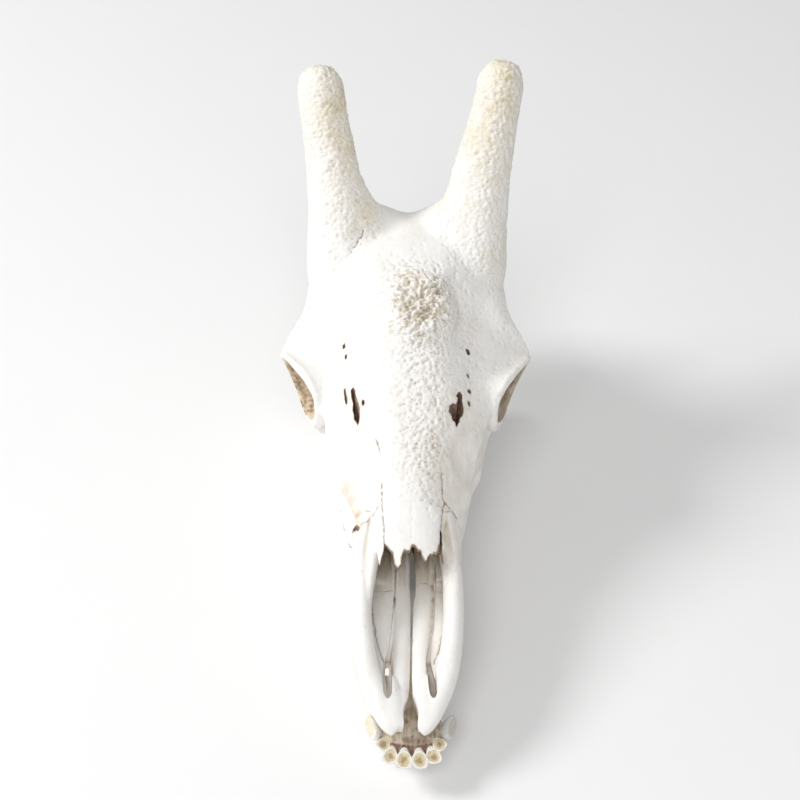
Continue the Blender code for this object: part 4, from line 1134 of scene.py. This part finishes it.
def jaw_pieces():
    chin = block("chin", [
        (-9, 28, 38, 20, 0.0), (-2, 25, 40, 29, 0.0), (12, 22, 42, 34, 0.0),
        (30, 17, 42, 32, 0.0), (52, 9, 41, 25, 0.0), (80, 2, 39, 20, 0.0),
        (112, -1, 37, 18.5, 0.0), (142, 0, 35, 19, 0.0)])
    body = limb("jaw_body", [
        (13, 40, 24, 10, 15), (13, 80, 19, 9.5, 18), (14, 112, 17, 9.5, 18),
        (19, 146, 17.5, 9.5, 18), (30, 190, 20.5, 10, 20), (40, 236, 24, 11, 22),
        (47, 290, 27.5, 12, 26), (52, 340, 30.5, 12.5, 29), (56, 390, 31.5, 12, 32),
        (61, 430, 34, 9, 36), (67, 466, 42, 7, 40), (72, 498, 56, 6, 36),
        (74, 509, 64, 5, 27), (75, 516, 71, 3.5, 16)], squareness=2.3)
    ramus = limb("jaw_ramus", [
        (62, 452, 40, 7, 40), (66, 468, 78, 5.5, 37), (69, 482, 112, 5, 29),
        (71.5, 496, 142, 5, 19), (73, 505, 164, 7, 12), (73, 508, 177, 11, 8.5)])
    hook = limb("jaw_hook", [
        (67, 468, 106, 5, 17), (67.5, 472, 142, 4.5, 13), (67.5, 478, 176, 4.2, 9.5),
        (67, 486, 201, 4, 7), (66.5, 492, 214, 3.2, 4), (66.4, 493, 217, 2, 2)])
    knuckle = ball("jaw_knuckle", (73, 508, 179), (18, 8.5, 8))
    return [chin] + both([body, ramus, hook, knuckle])


def set_down_askew(piece):
    """The jaw lies on the table with its front a little to the animal's left."""
    points = points_of(piece)
    points[:, 0] += JAW_SWING * (1 - points[:, 1] / JOINT_STATION)
    put_points(piece, points)
    piece.data.transform(ONTO_THE_TABLE)


def build_jaw():
    """The whole jaw, cut flat where it rests, fissured between the cutting teeth, with dirt and painted
    shade on its front.
    """
    jaw = melt("jaw", jaw_pieces(), BONE_GRAIN)
    carve(jaw, [side_prism("table", ((-100, -60), (700, -60), (700, REST_CUT), (-100, REST_CUT)),
                           -200, 200)])
    carve(jaw, both([limb("chin_hole", [(40, 62, 30, 3, 4), (20, 70, 27, 4, 6),
                                        (12, 88, 25, 2, 3)])]))
    points, normals = points_of(jaw), normals_of(jaw)
    x, s, z = points.T
    lift = 0.4 * rough(points, 22, 21) + 0.22 * rough(points, 7, 22) + 0.14 * rough(points, 3.4, 28)
    front = step(30, 12, s) * step(34, 39, z)
    fissured = 1 - 2 * abs(rough(points * (1.6, 0.8, 1), 3.6, 23))
    lift += front * (0.7 * fissured + 0.5 * rough(points, 6, 24))
    lift -= 1.3 * np.exp(-(x / 0.9) ** 2) * step(20, 30, z) * step(70, 40, s)
    lift *= step(REST_CUT + 0.05, REST_CUT + 2.5, z)
    put_points(jaw, points + normals * lift[:, None])
    keep(jaw, "pit", front * step(0.1, -0.7, fissured))
    # Dirt and painted shade on the jaw's front under the palate, and painted shade in the sockets of
    # its teeth.
    dirt_and_shade = 0.45 + 0.28 * step(-0.2, 0.4, rough(points, 7, 25)) + 0.34 * step(0.1, -0.6, fissured)
    sockets = step(-1, -6, s - 0.12 * abs(x) ** 1.6 / 4) * step(26, 31, z)
    keep(jaw, "nose", np.maximum(step(95, 45, s) * step(24, 34, z) * dirt_and_shade, 1.35 * sockets))
    return jaw


jaw = build_jaw()
jaw_left = face_middles(jaw)[:, 0] > 0
jaw_bone = bone_material("jaw_bone", DRY_TAN, 0.26, 0.6)
for side, chosen in (("left", jaw_left), ("right", ~jaw_left)):
    half = taken_out(jaw, "mandible_" + side + "_bone", chosen)
    set_down_askew(half)
    shade_smooth(half)
    # Painted shade with some dust where the jaw is enclosed, also by the skull above it.
    keep(half, "dust_and_shade", dust_and_shade(half, bones.values(), 16, 60.0, 14))
    dress(half, jaw_bone)
    stand_for(half, "mandible_" + side)
bpy.data.objects.remove(jaw)


# Cheek teeth.
# Six to a side above and below, each a waisted block of folded enamel round softer dentine, worn
# to a hollow grinding face. They are set into the ridges of the upper and the lower jaw.

ROW_START = 238.0
ROW_MIDDLE = 360.0               # station where the row bows out furthest
ROW_HALF = 130
ROW_BOW = 15.0
ROW_ENDS = 46.0                  # distance of the row from the midline where it doesn't bow out
LOWER_ROW_IN = 5.0               # the lower rows stand this much closer to the midline
TOOTH_GAP = 0.6
BITE_GAP = 0.8
LOWER_CROWN = 26.0
UPPER_ROOT = 5.0
UPPER_EDGE = -17.0
LOWER_EDGE = UPPER_EDGE - BITE_GAP
LOWER_ROOT = LOWER_EDGE - LOWER_CROWN
UPPER_LENGTHS = (22, 23, 24, 27, 30, 29)
UPPER_WIDTHS = (20, 23, 25, 27, 29, 27)
LOWER_LENGTHS = (18, 21, 24, 27, 29, 37)
LOWER_WIDTHS = (12, 15, 17, 19, 20, 18)
CROWN_RINGS = ((0.0, 0.76), (0.3, 0.86), (0.55, 0.95), (0.75, 1.0), (0.9, 0.985), (0.97, 0.95),
               (1.0, 0.9), (1.0, 0.84))     # share of the height, and size
WORN_RINGS = ((1.2, 0.74), (1.9, 0.6), (1.0, 0.46), (0.9, 0.36), (2.1, 0.22))  # depth, and size


def molar(x, s, half_width, half_length, root, edge, lobes):
    """A cheek tooth, waisted between its lobes, its grinding face worn below the enamel rim."""
    down = 1 if edge > root else -1
    rings = [(root + (edge - root) * share, size) for share, size in CROWN_RINGS]
    rings += [(edge - down * depth, size) for depth, size in WORN_RINGS]
    count = 48
    made = []
    for z, size in rings:
        points = []
        for i in range(count):
            across, along = squared(2 * math.pi * i / count, 0.7)
            waist = 1 - 0.24 * abs(math.cos(math.pi * along * lobes / 2)) ** 3 * abs(across)
            if lobes == 1:
                waist = 1.0
            points.append(place(x + half_width * size * across * waist,
                                s + half_length * size * along, z))
        made.append(points)
    return skin("tooth", made)


def cheek_row(way, upper):
    """Six teeth on a bowed line. The first three have one lobe, and the last lower one has three."""
    sizes = zip(UPPER_LENGTHS, UPPER_WIDTHS) if upper else zip(LOWER_LENGTHS, LOWER_WIDTHS)
    root, edge = (UPPER_ROOT, UPPER_EDGE) if upper else (LOWER_ROOT, LOWER_EDGE)
    chance = random.Random(7 if way > 0 else 11)
    start = ROW_START
    teeth = []
    for i, (length, width) in enumerate(sizes):
        s = start + length / 2
        start += length
        bow = ROW_BOW * (1 - ((s - ROW_MIDDLE) / ROW_HALF) ** 2)
        x = ROW_ENDS + bow - (0 if upper else LOWER_ROW_IN) + chance.uniform(-0.6, 0.6)
        lobes = 1 if i < 3 else (3 if i == 5 and not upper else 2)
        half = width / 2 * chance.uniform(0.97, 1.03)
        teeth.append(molar(way * x, s, half, (length - TOOTH_GAP) / 2, root, edge, lobes))
    return teeth


CORE_BROWN = (0.17, 0.09, 0.04, 1)


def enamel_material(name, enamel, dentine):
    """Old enamel: ivory and glossy, streaked down the crown, with brown in the worn middle."""
    made, net = new_material(name)
    where = net.where()
    streaked = net.noise(net.where((1, 1, 0.2)), 2.2, 4, 0.6)
    colour = net.mix(net.between(streaked, 0.4, 0.75, 0.0, 0.6), enamel, dentine)
    worn = net.product(net.carried("worn"),
                       net.between(net.noise(where, 2.5, 3), 0.3, 0.6, 0.6, 1.0))
    colour = net.mix(worn, colour, dentine)
    colour = net.mix(net.between(net.carried("core"), 0.4, 1.0, 0.0, 0.8), colour, CORE_BROWN)
    net.finish(colour, net.between(streaked, 0.3, 0.7, 0.25, 0.45), streaked, 0.35, 0.0004)
    return made


molar_enamel = enamel_material("molar_enamel", (0.84, 0.80, 0.70, 1), (0.50, 0.36, 0.20, 1))
for way, side in SIDES:
    for upper, node in ((True, "snout"), (False, "mandible_" + side)):
        row = joined(("upper" if upper else "lower") + "_cheek_teeth_" + side, cheek_row(way, upper))
        shade_smooth(row)
        level = points_of(row)[:, 2]
        sunk = (level - UPPER_EDGE) if upper else (LOWER_EDGE - level)
        keep(row, "worn", step(0.4, 1.0, sunk) * step(3.0, 2.4, sunk))
        keep(row, "core", step(1.4, 2.0, sunk) * step(3.0, 2.4, sunk))
        row.data.transform(ONTO_THE_JAW)
        if upper:
            row.data.transform(ONTO_THE_TABLE)
        else:
            set_down_askew(row)
        dress(row, molar_enamel)
        stand_for(row, node)


# Cutting teeth.
# Only the lower jaw has them: three incisors and a broad canine on each side, leaning forwards
# like spades, white enamel outside and a worn cream face with a brown core on top.

# Each tooth: root, tip, half width, half thickness and direction of its width, then the middle and
# the half length of its worn face as shares of its length.
CUTTING_TEETH = (
    ("incisor_1", (6.5, 3, 31), (8.2, -29, 42), 7.8, 6.6, (1.0, 0.05), 0.77, 0.25),
    ("incisor_2", (17, 3, 31), (22.5, -23, 42), 7.4, 6.2, (0.9, 0.35), 0.76, 0.28),
    ("incisor_3", (23, 10, 31), (29.0, -8, 44), 6.8, 6.0, (0.6, 0.8), 0.72, 0.36),
    ("canine", (28, 20, 30), (41.0, 15, 46), 14.5, 6.4, (0.22, 1.0), 0.98, 0.5))
CROWN_PROFILE = (                # share of the length, width, thickness
    (0.0, 0.45, 0.7), (0.2, 0.5, 0.74), (0.45, 0.68, 0.85), (0.6, 0.87, 0.95), (0.72, 1.0, 1.0),
    (0.84, 1.0, 0.95), (0.93, 0.95, 0.85), (0.98, 0.84, 0.72), (1.0, 0.70, 0.56))
UNWORN = 1.5                     # anything over 1 lies outside the worn face


def cutting_tooth(way, base, tip, half_width, half_thick, tangent, middle, half, canine):
    """One tooth, ground off on its upper side, or on its end for a canine, and dished.

    Marks how far inside the worn face each point lies.
    """
    stations = []
    for t, wide, thick in CROWN_PROFILE:
        x, s, z = (a + (b - a) * t for a, b in zip(base, tip))
        stations.append((way * x, s, z, half_width * wide, half_thick * thick))
    tooth = limb("cutting_tooth", stations, side=(way * tangent[0], tangent[1], 0),
                 squareness=2.2, steps=6, count=56)
    points = points_of(tooth)
    start = np.array(base) * (way, 1, 1)
    axis = np.array(tip) * (way, 1, 1) - start
    length = np.linalg.norm(axis)
    axis = axis / length
    across = np.array((way * tangent[0], tangent[1], 0.0))
    across = across - axis * (across @ axis)
    across /= np.linalg.norm(across)
    over = np.cross(axis, across)
    over *= np.sign(over[2])
    from_start = points - start
    along, wide, high = from_start @ axis / length, from_start @ across, from_start @ over
    if canine:
        inside = np.hypot(wide / half_width, high / half_thick)
        inside = np.where(along > 0.86, inside, UNWORN)
        points -= np.outer(1.4 * step(0.8, 0.2, inside), axis)
    else:
        limit = half_thick * (0.95 - 1.55 * (along - middle + half) / (2 * half))
        inside = np.hypot((along - middle) / half, wide / half_width)
        inside = np.where(high > limit - 0.3, inside, UNWORN)
        drop = np.where(high > limit, high - limit, 0) + 0.9 * step(0.9, 0.3, inside)
        points -= np.outer(drop, over)
    put_points(tooth, points)
    blur = 0.12 * rough(points, 4, 31)
    keep(tooth, "worn", step(0.86, 0.66, inside + blur) * (0.6 if canine else 1.0))
    keep(tooth, "core", step(0.62, 0.2, inside + 2.2 * blur) * 0.8)
    return tooth


white_enamel = enamel_material("incisor_enamel", (0.88, 0.88, 0.86, 1), (0.60, 0.49, 0.28, 1))
smoky_enamel = enamel_material("smoky_enamel", (0.66, 0.67, 0.66, 1), (0.50, 0.45, 0.34, 1))
for way, side in SIDES:
    for name, *shape in CUTTING_TEETH:
        tooth = cutting_tooth(way, *shape, name == "canine")
        tooth.name = name + "_" + side
        shade_smooth(tooth)
        set_down_askew(tooth)
        dress(tooth, smoky_enamel if name == "canine" and side == "left" else white_enamel)
        stand_for(tooth, "mandible_" + side)


# Floor, light and camera.
# A plain white floor, a broad soft lamp from the upper left, a weaker one from the front, and the
# camera where the photographer stood: in front of the nose, looking down at 42 degrees.

FLOOR_TONES = ((0.87, 0.87, 0.87, 1), (0.89, 0.89, 0.89, 1))
SKY_STRENGTH = 0.44
LAMPS = (                        # place and aim in metres, breadth in metres, watts
    ("key", (-3.7, 0.3, 3.3), (0, 0, 0.15), 1.6, 132),
    ("fill", (-0.6, -2.9, 3.6), (0, 0, 0.1), 2.4, 74))
CAMERA_LOOK = (-0.0001, 0.0590, 0.1495)
CAMERA_UP = math.radians(42.0)
CAMERA_LEFT = math.radians(2.0)
CAMERA_ROLL = math.radians(1.4)
CAMERA_FAR = 2.0
METRES_PER_PIXEL = 0.00109
PHOTO_SIDE = 800                 # pixels
LOOK_PIXEL = (405.0, 408.0)      # where the camera's aim lies in the photo
FILM_SIDE = 36                   # millimetres


def set_floor():
    made, net = new_material("white_floor")
    where = net.where()
    net.finish(net.mix(net.noise(where, 180, 3), *FLOOR_TONES),
               net.between(net.noise(where, 20, 3), 0.3, 0.7, 0.7, 0.9),
               net.noise(where, 3, 3), 0.05, 0.0005)
    work = bmesh.new()
    bmesh.ops.create_grid(work, x_segments=8, y_segments=8, size=6.0)
    ground = add_object("floor", mesh_of(work, "floor"))
    dress(ground, made)


def set_lights():
    for name, where, at, size, watts in LAMPS:
        light = bpy.data.lights.new(name, "AREA")
        set_up(light, shape="DISK", size=size, energy=watts)
        turn = (Vector(at) - Vector(where)).to_track_quat("-Z", "Y").to_euler()
        set_up(add_object(name, light), location=where, rotation_euler=turn)
    world = bpy.data.worlds.new("studio")
    world.use_nodes = True
    bpy.context.scene.world = world
    sky = world.node_tree.nodes["Background"].inputs
    sky["Color"].default_value = (1, 1, 1, 1)
    sky["Strength"].default_value = SKY_STRENGTH


def set_camera():
    back = Vector((-math.sin(CAMERA_LEFT), -math.cos(CAMERA_UP) * math.cos(CAMERA_LEFT),
                   math.sin(CAMERA_UP) * math.cos(CAMERA_LEFT))).normalized()
    level = Vector((0, 1, 0)).cross(back).normalized()
    top = back.cross(level)
    right = level * math.cos(CAMERA_ROLL) - top * math.sin(CAMERA_ROLL)
    top = top * math.cos(CAMERA_ROLL) + level * math.sin(CAMERA_ROLL)
    camera = add_object("camera", bpy.data.cameras.new("camera"))
    turn = Matrix((right, top, back)).transposed().to_4x4()
    camera.matrix_world = Matrix.Translation(Vector(CAMERA_LOOK) + back * CAMERA_FAR) @ turn
    set_up(camera.data, sensor_width=FILM_SIDE, clip_end=20,
           lens=CAMERA_FAR / METRES_PER_PIXEL * FILM_SIDE / PHOTO_SIDE,
           shift_x=(PHOTO_SIDE / 2 - LOOK_PIXEL[0]) / PHOTO_SIDE,
           shift_y=(LOOK_PIXEL[1] - PHOTO_SIDE / 2) / PHOTO_SIDE)
    bpy.context.scene.camera = camera


bpy.context.scene.view_settings.view_transform = "Standard"
set_floor()
set_lights()
set_camera()
